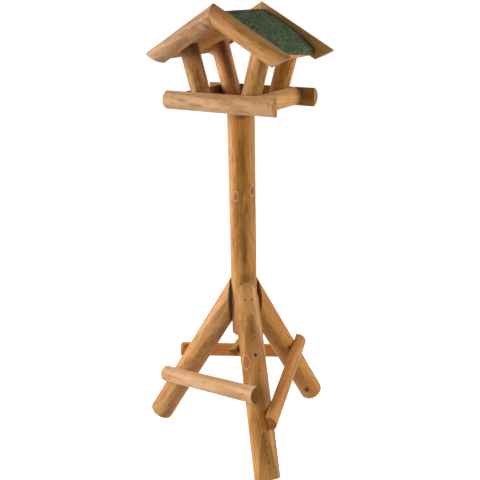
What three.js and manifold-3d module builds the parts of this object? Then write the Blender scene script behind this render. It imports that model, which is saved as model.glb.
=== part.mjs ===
// Bird table of round and halved poles: a post on three splayed legs carries a railed tray,
// and four leaning posts on the tray carry a felted gable roof.
// Millimetres, +Z up. The origin is on the floor, in the middle of the footprint. The front faces -Y.
import * as THREE from 'three';
import { mergeVertices, toCreasedNormals } from 'three/addons/utils/BufferGeometryUtils.js';
import Module from 'manifold-3d';

const wasm = await Module();
wasm.setup();

const DEGREE = Math.PI / 180;

// Fits and cuts
const CLEARANCE = 0.3;
const CUT_OVERRUN = 12;

// Post
const POST_DIAMETER = 80;
const POST_FOOT_HEIGHT = 353;

// Legs: each leans in from the floor to the post, and its azimuth turns from the front to the right
const LEG_DIAMETER = 78;
const LEG_SPREAD = 310;
const LEG_TILT = 30.4 * DEGREE;
const LEG_AZIMUTHS = { front: 43.4 * DEGREE, left: -72.7 * DEGREE, right: 160.9 * DEGREE };
const FOOT_TRIM = 3;

// Base rails: each is a halved pole that climbs from one leg to the next
const BASE_RAIL_WIDTH = 53;
const BASE_RAIL_LOW_OVERHANG = 44;
const BASE_RAIL_HIGH_OVERHANG = 36;
const LEFT_RAIL_HEIGHT = 179;
const LEFT_RAIL_CLIMB = 66;
const RIGHT_RAIL_HEIGHT = 187;
const RIGHT_RAIL_CLIMB = 55;
const BACK_RAIL_HEIGHT = 183;
const BACK_RAIL_CLIMB = 60;
const BASE_RAILS = {
  left: { legs: ['left', 'front'], height: LEFT_RAIL_HEIGHT, climb: LEFT_RAIL_CLIMB },
  right: { legs: ['front', 'right'], height: RIGHT_RAIL_HEIGHT, climb: RIGHT_RAIL_CLIMB },
  back: { legs: ['right', 'left'], height: BACK_RAIL_HEIGHT, climb: BACK_RAIL_CLIMB },
};

// Ledge: a quartered pole inside two legs, under the post's end
const LEDGE_RADIUS = 22;
const LEDGE_OVERHANG = 40;
const LEDGE_LEGS = ['front', 'right'];

// Tray
const TRAY_HEIGHT = 1057;
const TRAY_INNER_WIDTH = 225;
const TRAY_INNER_DEPTH = 210;
const TRAY_RAIL_WIDTH = 53;
const TRAY_RAIL_OVERHANG = 39;
const TRAY_BOARD_THICKNESS = 18;

// House posts
const HOUSE_POST_DIAMETER = 55;
const HOUSE_POST_LEAN = 15.9 * DEGREE;

// Roof: it rises from the tray's underside to the barge boards' peak
const ROOF_RISE = 285;
const ROOF_DEPTH = 238;
const BARGE_WIDTH = 53;
const BARGE_LENGTH = 263;
const BARGE_SLOPE = 29.4 * DEGREE;
const BARGE_END_ANGLE = 55 * DEGREE;
const ROOF_BOARD_SLOPE = 31.6 * DEGREE;
const ROOF_BOARD_WIDTH = 95;
const ROOF_BOARD_THICKNESS = 18;
const ROOF_BOARD_DROP = 46;
const FELT_THICKNESS = 2.5;
const FELT_BULGE = 9;
const FELT_HEM = 9;

// Pole ends are eased, and round work is cut into flats
const POLE_EASE = 2.5;
const THICK_POLE_SIDES = 48;
const SLIM_POLE_SIDES = 36;
const NAIL_SIDES = 8;
const FELT_STEPS = 12;

// Nails, sunk a little below the wood
const NAIL_DIAMETER = 3.2;
const NAIL_HEAD_DIAMETER = 4.6;
const NAIL_HEAD_THICKNESS = 1.2;
const NAIL_POINT_LENGTH = 5;
const NAIL_SET = 1.5;
const LEG_NAIL_DROP = 48;
const LEG_NAIL_SPACING = 22;
const POST_BITE_SHARE = 0.6;
const LEG_BITE_SHARE = 0.5;
const LEDGE_NAIL_SHARE = 0.4;
const HOUSE_POST_NAIL_BITE = 40;
const POST_END_NAIL_BITE = 60;
const POST_END_NAIL_SHARE = 0.5;

const UP = new THREE.Vector3(0, 0, 1);
const SIDES = { left: -1, right: 1 };
const ENDS = { front: -1, back: 1 };
const PAIR = { 1: -1, 2: 1 };
const vector = (x, y, z) => new THREE.Vector3(x, y, z);

const postRadius = POST_DIAMETER / 2;
const legRadius = LEG_DIAMETER / 2;
const housePostRadius = HOUSE_POST_DIAMETER / 2;
const railTop = TRAY_HEIGHT + TRAY_RAIL_WIDTH;
const floorTop = TRAY_HEIGHT + TRAY_BOARD_THICKNESS;
const ridgeHeight = TRAY_HEIGHT + ROOF_RISE;

const WOOD_LOOK = { roughness: 0.72, metalness: 0 };
const LOOKS = {
  poles: new THREE.MeshStandardMaterial({ color: 0xc08a4e, ...WOOD_LOOK }),
  halves: new THREE.MeshStandardMaterial({ color: 0xc89560, ...WOOD_LOOK }),
  boards: new THREE.MeshStandardMaterial({ color: 0xb67b45, ...WOOD_LOOK }),
  felt: new THREE.MeshStandardMaterial({ color: 0x3f5f48, roughness: 0.95, metalness: 0 }),
  nails: new THREE.MeshStandardMaterial({ color: 0x55504a, roughness: 0.5, metalness: 0.8 }),
};

const stand = new THREE.Group();
const tray = new THREE.Group();
const house = new THREE.Group();
tray.position.z = TRAY_HEIGHT;
house.position.z = floorTop;

const birdTable = new THREE.Group();
birdTable.name = 'bird_table';
birdTable.add(stand, tray, house);

// Every piece waits here with its place and its solid until its nail holes have been bored
const pieces = new Map();

function addPiece(group, name, place, solid, look) {
  pieces.set(name, { group, place, solid, look });
}

// A closed three.js geometry becomes a solid that can be cut and joined
function solidOf(geometry) {
  geometry.deleteAttribute('normal');
  geometry.deleteAttribute('uv');
  const merged = mergeVertices(geometry);
  const triangles = [];
  for (let i = 0; i < merged.index.count; i += 3) {
    const corners = [0, 1, 2].map((k) => merged.index.getX(i + k));
    if (new Set(corners).size === corners.length) triangles.push(...corners);
  }
  return new wasm.Manifold(new wasm.Mesh({
    numProp: 3,
    vertProperties: merged.attributes.position.array,
    triVerts: new Uint32Array(triangles),
  }));
}

function geometryOf(solid) {
  const { vertProperties, triVerts } = solid.getMesh();
  const geometry = new THREE.BufferGeometry();
  geometry.setAttribute('position', new THREE.BufferAttribute(vertProperties, 3));
  geometry.setIndex(new THREE.BufferAttribute(triVerts, 1));
  return toCreasedNormals(geometry);
}

// A place is a matrix from a piece's own frame to the whole table's
function placeFrom(along, outward, origin) {
  const across = outward.clone().cross(along);
  return new THREE.Matrix4().makeBasis(along, across, outward).setPosition(origin);
}

const turnedAboutY = (angle, origin) => new THREE.Matrix4().makeRotationY(angle).setPosition(origin);
const moved = (solid, place) => solid.transform(place.elements);
const movedBack = (solid, place) => moved(solid, place.clone().invert());

// A profile of radii and distances, from the axis back to the axis, is turned about X
function turned(profile, sides) {
  const points = profile.map(([radius, distance]) => new THREE.Vector2(radius, distance));
  return solidOf(new THREE.LatheGeometry(points, sides).rotateZ(-Math.PI / 2));
}

// A round pole with eased ends, lying along X
function pole(diameter, from, to, sides) {
  const radius = diameter / 2;
  const eased = radius - POLE_EASE;
  const start = [[0, from], [eased, from], [radius, from + POLE_EASE]];
  const finish = [[radius, to - POLE_EASE], [eased, to], [0, to]];
  return turned([...start, ...finish], sides);
}

// A halved pole lies on its flat, and its round side faces up
const halfPole = (width, from, to) => pole(width, from, to, SLIM_POLE_SIDES).trimByPlane([0, 0, 1], 0);

function board(length, width, thickness) {
  return solidOf(new THREE.BoxGeometry(length, width, thickness)).translate([0, 0, thickness / 2]);
}

// A nail runs along its own X from the middle of its head, and bores the pieces that it holds
function nail(group, name, head, direction, length, bored) {
  const aside = Math.abs(direction.z) < Math.SQRT1_2 ? UP : vector(1, 0, 0);
  const place = placeFrom(direction, aside.clone().cross(direction).normalize(), head);
  const rim = NAIL_HEAD_DIAMETER / 2;
  const shank = NAIL_DIAMETER / 2;
  const headProfile = [[0, 0], [rim, 0], [rim, NAIL_HEAD_THICKNESS], [shank, NAIL_HEAD_THICKNESS]];
  const shankProfile = [[shank, length - NAIL_POINT_LENGTH], [0, length]];
  addPiece(group, name, place, turned([...headProfile, ...shankProfile], NAIL_SIDES), LOOKS.nails);

  const wideEnd = NAIL_HEAD_THICKNESS + CLEARANCE;
  const wide = [[0, -CUT_OVERRUN], [rim + CLEARANCE, -CUT_OVERRUN], [rim + CLEARANCE, wideEnd]];
  const narrowEnd = length + CLEARANCE;
  const narrow = [[shank + CLEARANCE, wideEnd], [shank + CLEARANCE, narrowEnd], [0, narrowEnd]];
  const bore = moved(turned([...wide, ...narrow], NAIL_SIDES), place);
  for (const piece of bored.map((key) => pieces.get(key))) {
    piece.solid = piece.solid.subtract(movedBack(bore, piece.place));
  }
}

function post() {
  const place = placeFrom(UP, vector(1, 0, 0), vector(0, 0, POST_FOOT_HEIGHT));
  const length = TRAY_HEIGHT - CLEARANCE - POST_FOOT_HEIGHT;
  addPiece(stand, 'post', place, pole(POST_DIAMETER, 0, length, THICK_POLE_SIDES), LOOKS.poles);
}

// The axes of all three legs meet on the post's axis, high above the floor
const seatRadius = postRadius + CLEARANCE;

function legLine(name) {
  const azimuth = LEG_AZIMUTHS[name];
  const radial = vector(Math.sin(azimuth), -Math.cos(azimuth), 0);
  const sideways = UP.clone().cross(radial);
  const inwards = radial.clone().multiplyScalar(-Math.sin(LEG_TILT));
  const direction = inwards.addScaledVector(UP, Math.cos(LEG_TILT));
  const foot = radial.clone().multiplyScalar(LEG_SPREAD);
  return { radial, sideways, direction, foot };
}

// A leg's foot is sawn square and its lower corner trimmed flat, and its top is cut upright to
// touch the post along a line
function leg(name) {
  const { radial, sideways, direction, foot } = legLine(name);
  const footHeight = legRadius * Math.sin(LEG_TILT) - FOOT_TRIM;
  const end = foot.clone().addScaledVector(direction, footHeight / Math.cos(LEG_TILT));
  const place = placeFrom(direction, sideways, end);
  const pastSeat = (LEG_SPREAD + legRadius - seatRadius) / Math.sin(LEG_TILT);
  const standing = moved(pole(LEG_DIAMETER, 0, pastSeat, THICK_POLE_SIDES), place)
    .trimByPlane(radial.toArray(), seatRadius)
    .trimByPlane(UP.toArray(), 0);
  addPiece(stand, `leg_${name}`, place, movedBack(standing, place), LOOKS.poles);
}

// Two level nails hold each leg's top to the post
function legNails(name) {
  const { radial, sideways } = legLine(name);
  const outerRun = LEG_SPREAD + legRadius / Math.cos(LEG_TILT);
  const topHeight = (outerRun - seatRadius) / Math.tan(LEG_TILT);
  const height = topHeight - LEG_NAIL_DROP;
  const axisRun = LEG_SPREAD - height * Math.tan(LEG_TILT);
  for (const [number, sign] of Object.entries(PAIR)) {
    const offset = sign * LEG_NAIL_SPACING / 2;
    const surface = axisRun + Math.sqrt(legRadius ** 2 - offset ** 2) / Math.cos(LEG_TILT);
    const start = surface - NAIL_SET;
    const head = radial.clone().multiplyScalar(start).addScaledVector(sideways, offset).setZ(height);
    const length = start - postRadius * (1 - POST_BITE_SHARE);
    const held = [`leg_${name}`, 'post'];
    nail(stand, `leg_nail_${name}_${number}`, head, radial.clone().negate(), length, held);
  }
}

// Two legs lie on a common plane outside and another inside. It touches each leg along a line,
// and the line's point at a height is where a rail seats: side 1 is outside and -1 inside.
function legPair(first, second) {
  const lines = [legLine(first), legLine(second)];
  const outward = lines[0].direction.clone().cross(lines[1].direction).normalize();
  if (outward.dot(lines[0].foot) < 0) outward.negate();
  const touch = (index, height, side) => {
    const { foot, direction } = lines[index];
    const start = foot.clone().addScaledVector(outward, side * legRadius);
    return start.addScaledVector(direction, (height - start.z) / direction.z);
  };
  return { outward, touch };
}

function baseRail(name) {
  const { legs, height, climb } = BASE_RAILS[name];
  const { outward, touch } = legPair(...legs);
  const marks = [touch(0, height, 1), touch(1, height + climb, 1)];
  const span = marks[0].distanceTo(marks[1]);
  const along = marks[1].clone().sub(marks[0]).normalize();
  const place = placeFrom(along, outward, marks[0].clone().addScaledVector(outward, CLEARANCE));
  const rail = halfPole(BASE_RAIL_WIDTH, -BASE_RAIL_LOW_OVERHANG, span + BASE_RAIL_HIGH_OVERHANG);
  addPiece(stand, `base_rail_${name}`, place, rail, LOOKS.halves);

  const crown = BASE_RAIL_WIDTH / 2 + CLEARANCE - NAIL_SET;
  const length = crown + LEG_DIAMETER * LEG_BITE_SHARE;
  for (const [index, mark] of marks.entries()) {
    const head = mark.clone().addScaledVector(outward, crown);
    const held = [`base_rail_${name}`, `leg_${legs[index]}`];
    nail(stand, `base_rail_nail_${name}_${index + 1}`, head, outward.clone().negate(), length, held);
  }
}

// The ledge's side face lies on the inner plane of two legs, and its top arris is under the post
function ledge() {
  const { outward, touch } = legPair(...LEDGE_LEGS);
  const arrisHeight = POST_FOOT_HEIGHT - CLEARANCE;
  const marks = [touch(0, arrisHeight, -1), touch(1, arrisHeight, -1)];
  const along = marks[1].clone().sub(marks[0]).normalize();
  const place = placeFrom(along, outward, marks[0].clone().addScaledVector(outward, -CLEARANCE));
  const across = outward.clone().cross(along);
  const below = -Math.sign(across.z);
  const span = marks[0].distanceTo(marks[1]);
  const bar = pole(2 * LEDGE_RADIUS, -LEDGE_OVERHANG, span + LEDGE_OVERHANG, SLIM_POLE_SIDES)
    .trimByPlane([0, 0, -1], 0)
    .trimByPlane([0, below, 0], 0);
  addPiece(stand, 'post_ledge', place, bar, LOOKS.halves);

  const drop = LEDGE_RADIUS * LEDGE_NAIL_SHARE;
  const reach = Math.sqrt(LEDGE_RADIUS ** 2 - drop ** 2) + CLEARANCE - NAIL_SET;
  const length = reach + LEG_DIAMETER * LEG_BITE_SHARE;
  for (const [index, key] of LEDGE_LEGS.entries()) {
    const head = marks[index].addScaledVector(across, below * drop).addScaledVector(outward, -reach);
    nail(stand, `ledge_nail_${key}`, head, outward, length, ['post_ledge', `leg_${key}`]);
  }
}

// Two boards lie side by side on the post's end, between the rails
function trayBoards() {
  const length = TRAY_INNER_WIDTH - 2 * CLEARANCE;
  const inner = CLEARANCE / 2;
  const outer = TRAY_INNER_DEPTH / 2 - CLEARANCE;
  for (const [end, sign] of Object.entries(ENDS)) {
    const place = new THREE.Matrix4().setPosition(0, sign * (inner + outer) / 2, TRAY_HEIGHT);
    const plank = board(length, outer - inner, TRAY_BOARD_THICKNESS);
    addPiece(tray, `tray_board_${end}`, place, plank, LOOKS.boards);
  }
}

// Four nails through the boards hold the tray on the post's end
function trayNails() {
  const offset = postRadius * POST_END_NAIL_SHARE;
  const length = TRAY_BOARD_THICKNESS - NAIL_SET + POST_END_NAIL_BITE;
  for (const [end, endSign] of Object.entries(ENDS)) {
    for (const [number, sign] of Object.entries(PAIR)) {
      const head = vector(sign * offset, endSign * offset, floorTop - NAIL_SET);
      const held = [`tray_board_${end}`, 'post'];
      nail(tray, `tray_nail_${end}_${number}`, head, UP.clone().negate(), length, held);
    }
  }
}

// The long rails run past the corners, and the short ones butt between them
function trayRails() {
  const middle = TRAY_HEIGHT + TRAY_RAIL_WIDTH / 2;
  const reach = TRAY_INNER_WIDTH / 2 + TRAY_RAIL_WIDTH / 2 + TRAY_RAIL_OVERHANG;
  for (const [end, sign] of Object.entries(ENDS)) {
    const origin = vector(0, sign * TRAY_INNER_DEPTH / 2, middle);
    const place = placeFrom(vector(1, 0, 0), vector(0, sign, 0), origin);
    addPiece(tray, `tray_rail_${end}`, place, halfPole(TRAY_RAIL_WIDTH, -reach, reach), LOOKS.halves);
  }
  const butt = TRAY_INNER_DEPTH / 2 - CLEARANCE;
  for (const [side, sign] of Object.entries(SIDES)) {
    const origin = vector(sign * TRAY_INNER_WIDTH / 2, 0, middle);
    const place = placeFrom(vector(0, 1, 0), vector(sign, 0, 0), origin);
    addPiece(tray, `tray_rail_${side}`, place, halfPole(TRAY_RAIL_WIDTH, -butt, butt), LOOKS.halves);
  }
}

// Each slope's boards have a frame of their own: it starts under the ridge, and its X goes across
const boardOrigin = vector(0, 0, ridgeHeight - ROOF_BOARD_DROP);
const slopePlace = (sign) => turnedAboutY(sign * ROOF_BOARD_SLOPE, boardOrigin);

function roofBoards(side) {
  const sign = SIDES[side];
  const length = ROOF_DEPTH - 2 * CLEARANCE;
  const pastRidge = -ROOF_BOARD_THICKNESS * Math.tan(ROOF_BOARD_SLOPE);
  const upright = [sign * Math.cos(ROOF_BOARD_SLOPE), 0, Math.sin(ROOF_BOARD_SLOPE)];
  const runs = {
    upper: [pastRidge, ROOF_BOARD_WIDTH],
    lower: [ROOF_BOARD_WIDTH + CLEARANCE, 2 * ROOF_BOARD_WIDTH],
  };
  for (const [level, [from, to]] of Object.entries(runs)) {
    const plank = board(to - from, length, ROOF_BOARD_THICKNESS)
      .translate([sign * (from + to) / 2, 0, 0])
      .trimByPlane(upright, CLEARANCE / 2);
    addPiece(house, `roof_board_${side}_${level}`, slopePlace(sign), plank, LOOKS.boards);
  }
}

// House posts stand in the tray's corners and touch its side rails at their top edges
function housePostFoot(end, side) {
  const leanRun = (railTop - floorTop) * Math.tan(HOUSE_POST_LEAN);
  const halfWidth = housePostRadius / Math.cos(HOUSE_POST_LEAN);
  const x = TRAY_INNER_WIDTH / 2 - CLEARANCE - halfWidth - leanRun;
  const y = TRAY_INNER_DEPTH / 2 - CLEARANCE - housePostRadius;
  return vector(SIDES[side] * x, ENDS[end] * y, floorTop + CLEARANCE);
}

// The foot is cut level, and the top is cut to the underside of the roof boards
function housePost(end, side) {
  const sign = SIDES[side];
  const name = `house_post_${end}_${side}`;
  const foot = housePostFoot(end, side);
  const lean = vector(sign * Math.sin(HOUSE_POST_LEAN), 0, Math.cos(HOUSE_POST_LEAN));
  const under = vector(-sign * Math.sin(ROOF_BOARD_SLOPE), 0, -Math.cos(ROOF_BOARD_SLOPE));
  const underOffset = under.dot(boardOrigin) + CLEARANCE;
  const length = (underOffset - under.dot(foot)) / under.dot(lean);
  const place = placeFrom(lean, vector(0, 1, 0), foot);
  const spare = HOUSE_POST_DIAMETER;
  const blank = pole(HOUSE_POST_DIAMETER, -spare, length + spare, SLIM_POLE_SIDES);
  const standing = moved(blank, place)
    .trimByPlane(UP.toArray(), foot.z)
    .trimByPlane(under.toArray(), underOffset);
  addPiece(house, name, place, movedBack(standing, place), LOOKS.poles);

  const footHead = foot.clone().setZ(TRAY_HEIGHT + NAIL_SET);
  const footLength = TRAY_BOARD_THICKNESS + CLEARANCE - NAIL_SET + HOUSE_POST_NAIL_BITE;
  nail(house, `house_foot_nail_${end}_${side}`, footHead, UP, footLength, [`tray_board_${end}`, name]);
  const top = foot.clone().addScaledVector(lean, length);
  const roofHead = top.addScaledVector(under, NAIL_SET - ROOF_BOARD_THICKNESS - CLEARANCE);
  const roofLength = ROOF_BOARD_THICKNESS + CLEARANCE - NAIL_SET + HOUSE_POST_NAIL_BITE;
  nail(house, `roof_nail_${end}_${side}`, roofHead, under, roofLength, [`roof_board_${side}_lower`, name]);
}

// Barge boards are halved poles, flat against the boards' ends and mitred upright at the peak
function bargeBoard(end, side) {
  const outside = ENDS[end];
  const peakPlane = [Math.cos(BARGE_SLOPE), 0, Math.sin(BARGE_SLOPE)];
  const endPlane = [-Math.sin(BARGE_END_ANGLE), 0, Math.cos(BARGE_END_ANGLE)];
  const endOffset = -BARGE_LENGTH * Math.sin(BARGE_END_ANGLE);
  const rail = pole(BARGE_WIDTH, -BARGE_WIDTH - CUT_OVERRUN, BARGE_LENGTH + CUT_OVERRUN, SLIM_POLE_SIDES)
    .translate([0, 0, -BARGE_WIDTH / 2])
    .trimByPlane([0, outside, 0], 0)
    .trimByPlane(peakPlane, CLEARANCE / 2)
    .trimByPlane(endPlane, endOffset);
  const handed = SIDES[side] > 0 ? rail : rail.mirror([1, 0, 0]);
  const place = turnedAboutY(SIDES[side] * BARGE_SLOPE, vector(0, outside * ROOF_DEPTH / 2, ridgeHeight));
  addPiece(house, `barge_board_${end}_${side}`, place, handed, LOOKS.halves);
}

// The felt's inner line on the right: up off the slope in a bow, then down over the board's edge
function feltLine() {
  const top = ROOF_BOARD_THICKNESS + CLEARANCE;
  const ridge = -top * Math.tan(ROOF_BOARD_SLOPE);
  const eave = 2 * ROOF_BOARD_WIDTH + CLEARANCE;
  const line = [];
  for (let step = 0; step <= FELT_STEPS; step += 1) {
    const share = step / FELT_STEPS;
    const bow = FELT_BULGE * Math.sin(Math.PI * share);
    line.push(vector(ridge + share * (eave - ridge), 0, top + bow));
  }
  line.push(vector(eave, 0, top - FELT_HEM));
  return line.map((point) => point.applyMatrix4(slopePlace(SIDES.right)));
}

// The same line, moved out along its own normals
function offsetLine(line, distance) {
  return line.map((point, index) => {
    const before = line[Math.max(index - 1, 0)];
    const after = line[Math.min(index + 1, line.length - 1)];
    const tangent = after.clone().sub(before).normalize();
    return point.clone().add(new THREE.Vector2(-tangent.y, tangent.x).multiplyScalar(distance));
  });
}

// One sheet lies over both slopes, between the barge boards
function felt() {
  const right = feltLine().map(({ x, z }) => new THREE.Vector2(x, z));
  const left = right.slice(1).map(({ x, y }) => new THREE.Vector2(-x, y));
  const inner = [...left.reverse(), ...right];
  const outline = [...inner, ...offsetLine(inner, FELT_THICKNESS).reverse()];
  const depth = ROOF_DEPTH - 2 * CLEARANCE;
  const sheet = new THREE.ExtrudeGeometry(new THREE.Shape(outline), { depth, bevelEnabled: false });
  sheet.rotateX(Math.PI / 2).translate(0, depth / 2, -ridgeHeight);
  const place = new THREE.Matrix4().setPosition(0, 0, ridgeHeight);
  addPiece(house, 'roof_felt', place, solidOf(sheet), LOOKS.felt);
}

post();
for (const name of Object.keys(LEG_AZIMUTHS)) leg(name);
for (const name of Object.keys(LEG_AZIMUTHS)) legNails(name);
for (const name of Object.keys(BASE_RAILS)) baseRail(name);
ledge();
trayBoards();
trayNails();
trayRails();
for (const side of Object.keys(SIDES)) roofBoards(side);
for (const end of Object.keys(ENDS)) {
  for (const side of Object.keys(SIDES)) {
    housePost(end, side);
    bargeBoard(end, side);
  }
}
felt();

for (const [name, { group, place, solid, look }] of pieces) {
  const mesh = new THREE.Mesh(geometryOf(solid), look);
  mesh.name = name;
  mesh.applyMatrix4(place);
  group.attach(mesh);
}

// The splayed legs are not even, so the footprint's middle is a little off the post's axis
const middle = new THREE.Box3().setFromObject(birdTable, true).getCenter(vector(0, 0, 0));
birdTable.position.set(-middle.x, -middle.y, 0);

export default birdTable;
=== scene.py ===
"""The bird table's looks: turned and halved poles, sawn boards, roofing felt, nails and a small studio.

Every pole is made afresh over its plain solid, with eased ends, a slightly uneven skin, knots and nail holes.
Marks that belong to one place on the timber are given by a point of the 480 by 480 picture, and sit where
the line of sight through that point meets the pole. Lengths are metres in meshes, and millimetres in
materials.
"""

import logging
import math
import random
from dataclasses import dataclass, field
from enum import Enum

import bmesh
import bpy
import numpy as np
from mathutils import Matrix, Vector, noise


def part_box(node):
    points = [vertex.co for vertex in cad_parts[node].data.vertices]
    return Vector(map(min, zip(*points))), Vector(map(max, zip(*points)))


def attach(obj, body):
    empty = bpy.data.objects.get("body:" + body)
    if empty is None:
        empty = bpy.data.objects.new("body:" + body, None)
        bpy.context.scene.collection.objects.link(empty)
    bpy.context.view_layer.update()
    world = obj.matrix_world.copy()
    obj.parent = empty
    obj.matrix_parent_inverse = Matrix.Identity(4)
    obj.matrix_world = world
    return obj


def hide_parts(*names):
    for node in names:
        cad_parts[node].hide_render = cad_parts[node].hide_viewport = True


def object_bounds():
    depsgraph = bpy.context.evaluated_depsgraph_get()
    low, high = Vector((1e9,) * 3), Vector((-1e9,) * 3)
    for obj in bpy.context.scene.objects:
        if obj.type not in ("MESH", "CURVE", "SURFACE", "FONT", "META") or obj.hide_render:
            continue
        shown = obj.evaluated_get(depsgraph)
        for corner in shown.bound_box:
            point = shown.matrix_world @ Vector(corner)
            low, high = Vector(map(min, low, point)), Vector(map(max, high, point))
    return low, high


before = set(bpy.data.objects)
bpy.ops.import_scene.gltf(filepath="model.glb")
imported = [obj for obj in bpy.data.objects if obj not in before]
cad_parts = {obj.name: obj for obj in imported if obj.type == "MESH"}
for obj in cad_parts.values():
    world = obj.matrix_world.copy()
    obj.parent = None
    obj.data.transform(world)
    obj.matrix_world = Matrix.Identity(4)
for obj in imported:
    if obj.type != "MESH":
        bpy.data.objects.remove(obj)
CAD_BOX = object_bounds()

log = logging.getLogger("bird_table")

MM = 0.001
FULL_TURN = 2 * math.pi
MERGE_DISTANCE = 0.01 * MM
SHARP_ANGLE = math.radians(38)
BODY = "root"
SAWN = "sawn"
EDGE_HIGHLIGHT = "edge_highlight"
FRONT = Vector((0, -1, 0))

Colour = tuple[float, float, float, float]


def tone(red: int, green: int, blue: int) -> Colour:
    """Turns a display colour into the linear one that shaders use.

    Args:
        red: Display red, 0 to 255.
        green: Display green, 0 to 255.
        blue: Display blue, 0 to 255.

    Returns:
        The linear colour with full alpha.
    """
    top, offset, span, power, toe, toe_slope = 255, 0.055, 1.055, 2.4, 10, 12.92
    linear = [((part / top + offset) / span) ** power if part > toe else part / top / toe_slope
              for part in (red, green, blue)]
    return (*linear, 1.0)


class Cut(Enum):
    """How a pole was sawn along its length."""

    ROUND = 0
    HALF = 1
    QUARTER = 2


@dataclass(frozen=True)
class Plane:
    """A flat face: points p on it have normal . p equal to offset.

    Args:
        normal: The unit normal, pointing out of the wood.
        offset: The distance of the plane from the origin along the normal.
        area: The area of the face in square metres.
    """

    normal: np.ndarray
    offset: float
    area: float


def flat_faces(node: str) -> list[Plane]:
    """Gathers the triangles of a plain solid into its flat faces.

    Args:
        node: The solid's name.

    Returns:
        The flat faces, the largest first.
    """
    same_turn = 0.9998
    same_offset = 0.05 * MM
    least_cross = 1e-10
    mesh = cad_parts[node].data
    mesh.calc_loop_triangles()
    points = np.array([vertex.co for vertex in mesh.vertices])
    corners = points[np.array([triangle.vertices for triangle in mesh.loop_triangles])]
    crosses = np.cross(corners[:, 1] - corners[:, 0], corners[:, 2] - corners[:, 0])
    lengths = np.linalg.norm(crosses, axis=1)
    found: list[list] = []
    for index in np.argsort(-lengths):
        if lengths[index] < least_cross:
            continue
        normal = crosses[index] / lengths[index]
        offset = float(normal @ corners[index].mean(0))
        area = lengths[index] / 2
        for face in found:
            if face[0] @ normal > same_turn and abs(face[1] - offset) < same_offset:
                face[2] += area
                break
        else:
            found.append([normal, offset, area])
    return sorted((Plane(*face) for face in found), key=lambda face: -face.area)


@dataclass(frozen=True)
class Pole:
    """The shape of one pole, read off its plain solid.

    Args:
        node: The solid's name.
        cut: How the pole was sawn along its length.
        centre: The middle of the round part's axis.
        outward: The unit direction from the axis to the middle of the round side.
        side: The unit direction across.
        along: The unit direction of the axis.
        radius: The radius of the round part.
        flats: The sawn sides, as (outward part, side part, distance) of each.
        ends: The planes of the low and the high end.
        trims: Other planes that take off a corner.
    """

    node: str
    cut: Cut
    centre: Vector
    outward: Vector
    side: Vector
    along: Vector
    radius: float
    flats: tuple[tuple[float, float, float], ...]
    ends: tuple[Plane, Plane]
    trims: tuple[Plane, ...]

    @classmethod
    def measure(cls, node: str, cut: Cut) -> "Pole":
        """Reads the pole's axis, radius, sawn sides and ends off the solid's faces.

        Args:
            node: The solid's name.
            cut: How the pole was sawn along its length.

        Returns:
            The measured pole.
        """
        least_side_share = 0.01
        least_end_area = 60 * MM * MM
        least_end_lean = 0.2
        side_leans = (1.0, 0.5, 0.1, 0.01)
        mostly_up = np.array((0.3, 0.1, 1.0))
        faces = flat_faces(node)
        normals = np.array([face.normal for face in faces])
        areas = np.array([face.area for face in faces])
        chosen = np.ones(len(faces), bool)
        for lean in side_leans:
            weights = np.where(chosen, areas, 0)
            axis = np.linalg.eigh((normals * weights[:, None]).T @ normals)[1][:, 0]
            chosen = np.abs(normals @ axis) < lean
        axis = axis if axis @ mostly_up > 0 else -axis
        sides = [face for face in faces if abs(face.normal @ axis) < side_leans[-1]]
        least = least_side_share * sum(face.area for face in sides)
        sides = [face for face in sides if face.area > least]
        flats, facets = sides[:cut.value], sides[cut.value:]
        outward = -sum(face.normal for face in flats) if flats else np.array(FRONT)
        outward = outward - axis * (outward @ axis)
        outward = outward / np.linalg.norm(outward)
        across = np.cross(axis, outward)
        table = np.array([[face.normal @ outward, face.normal @ across, 1.0] for face in facets])
        offsets = np.array([face.offset for face in facets])
        u, v, radius = np.linalg.lstsq(table, offsets, rcond=None)[0]
        tips = [face for face in faces
                if abs(face.normal @ axis) > least_end_lean and face.area > least_end_area]
        low = next(face for face in tips if face.normal @ axis < 0)
        high = next(face for face in tips if face.normal @ axis > 0)
        line = outward * u + across * v
        reach = [(face.offset - face.normal @ line) / (face.normal @ axis) for face in (low, high)]
        centre = line + axis * sum(reach) / 2
        trims = tuple(face for face in tips if face is not low and face is not high)
        return cls(node, cut, Vector(centre), Vector(outward), Vector(across), Vector(axis), float(radius),
                   tuple((float(face.normal @ outward), float(face.normal @ across),
                          float(face.offset - face.normal @ centre)) for face in flats),
                   (low, high), trims)

    def at(self, u: float, v: float, along: float) -> Vector:
        """Gives the place of a point of the pole's own frame in the table's frame."""
        return self.centre + self.outward * u + self.side * v + self.along * along

    def end_at(self, end: int, u: float, v: float) -> float:
        """Works out how far along the axis an end plane lies at a point of the section.

        Args:
            end: 0 for the low end and 1 for the high one.
            u: The point's distance outwards.
            v: The point's distance sideways.

        Returns:
            The distance along the axis from the centre.
        """
        normal, offset = self.ends[end].normal, self.ends[end].offset
        flat = np.array(self.centre + self.outward * u + self.side * v)
        return (offset - float(normal @ flat)) / float(normal @ np.array(self.along))

    def angle_frame(self) -> Matrix:
        """Gives the turn from the pole's own frame to the table's."""
        return Matrix((self.outward, self.side, self.along)).transposed()


def steps_of(line: np.ndarray) -> np.ndarray:
    """Measures the steps from each point of a line to the next."""
    return np.linalg.norm(np.diff(line, axis=0), axis=1)


def resample(line: np.ndarray, count: int) -> np.ndarray:
    """Spaces points evenly along a line.

    Args:
        line: The corners of the line, with its start again at its end where it is closed.
        count: How many points to give back.

    Returns:
        The evenly spaced points, from the line's start to its end.
    """
    reach = np.concatenate([[0], np.cumsum(steps_of(line))])
    wanted = np.linspace(0, reach[-1], count)
    return np.column_stack([np.interp(wanted, reach, line[:, k]) for k in range(2)])


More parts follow.
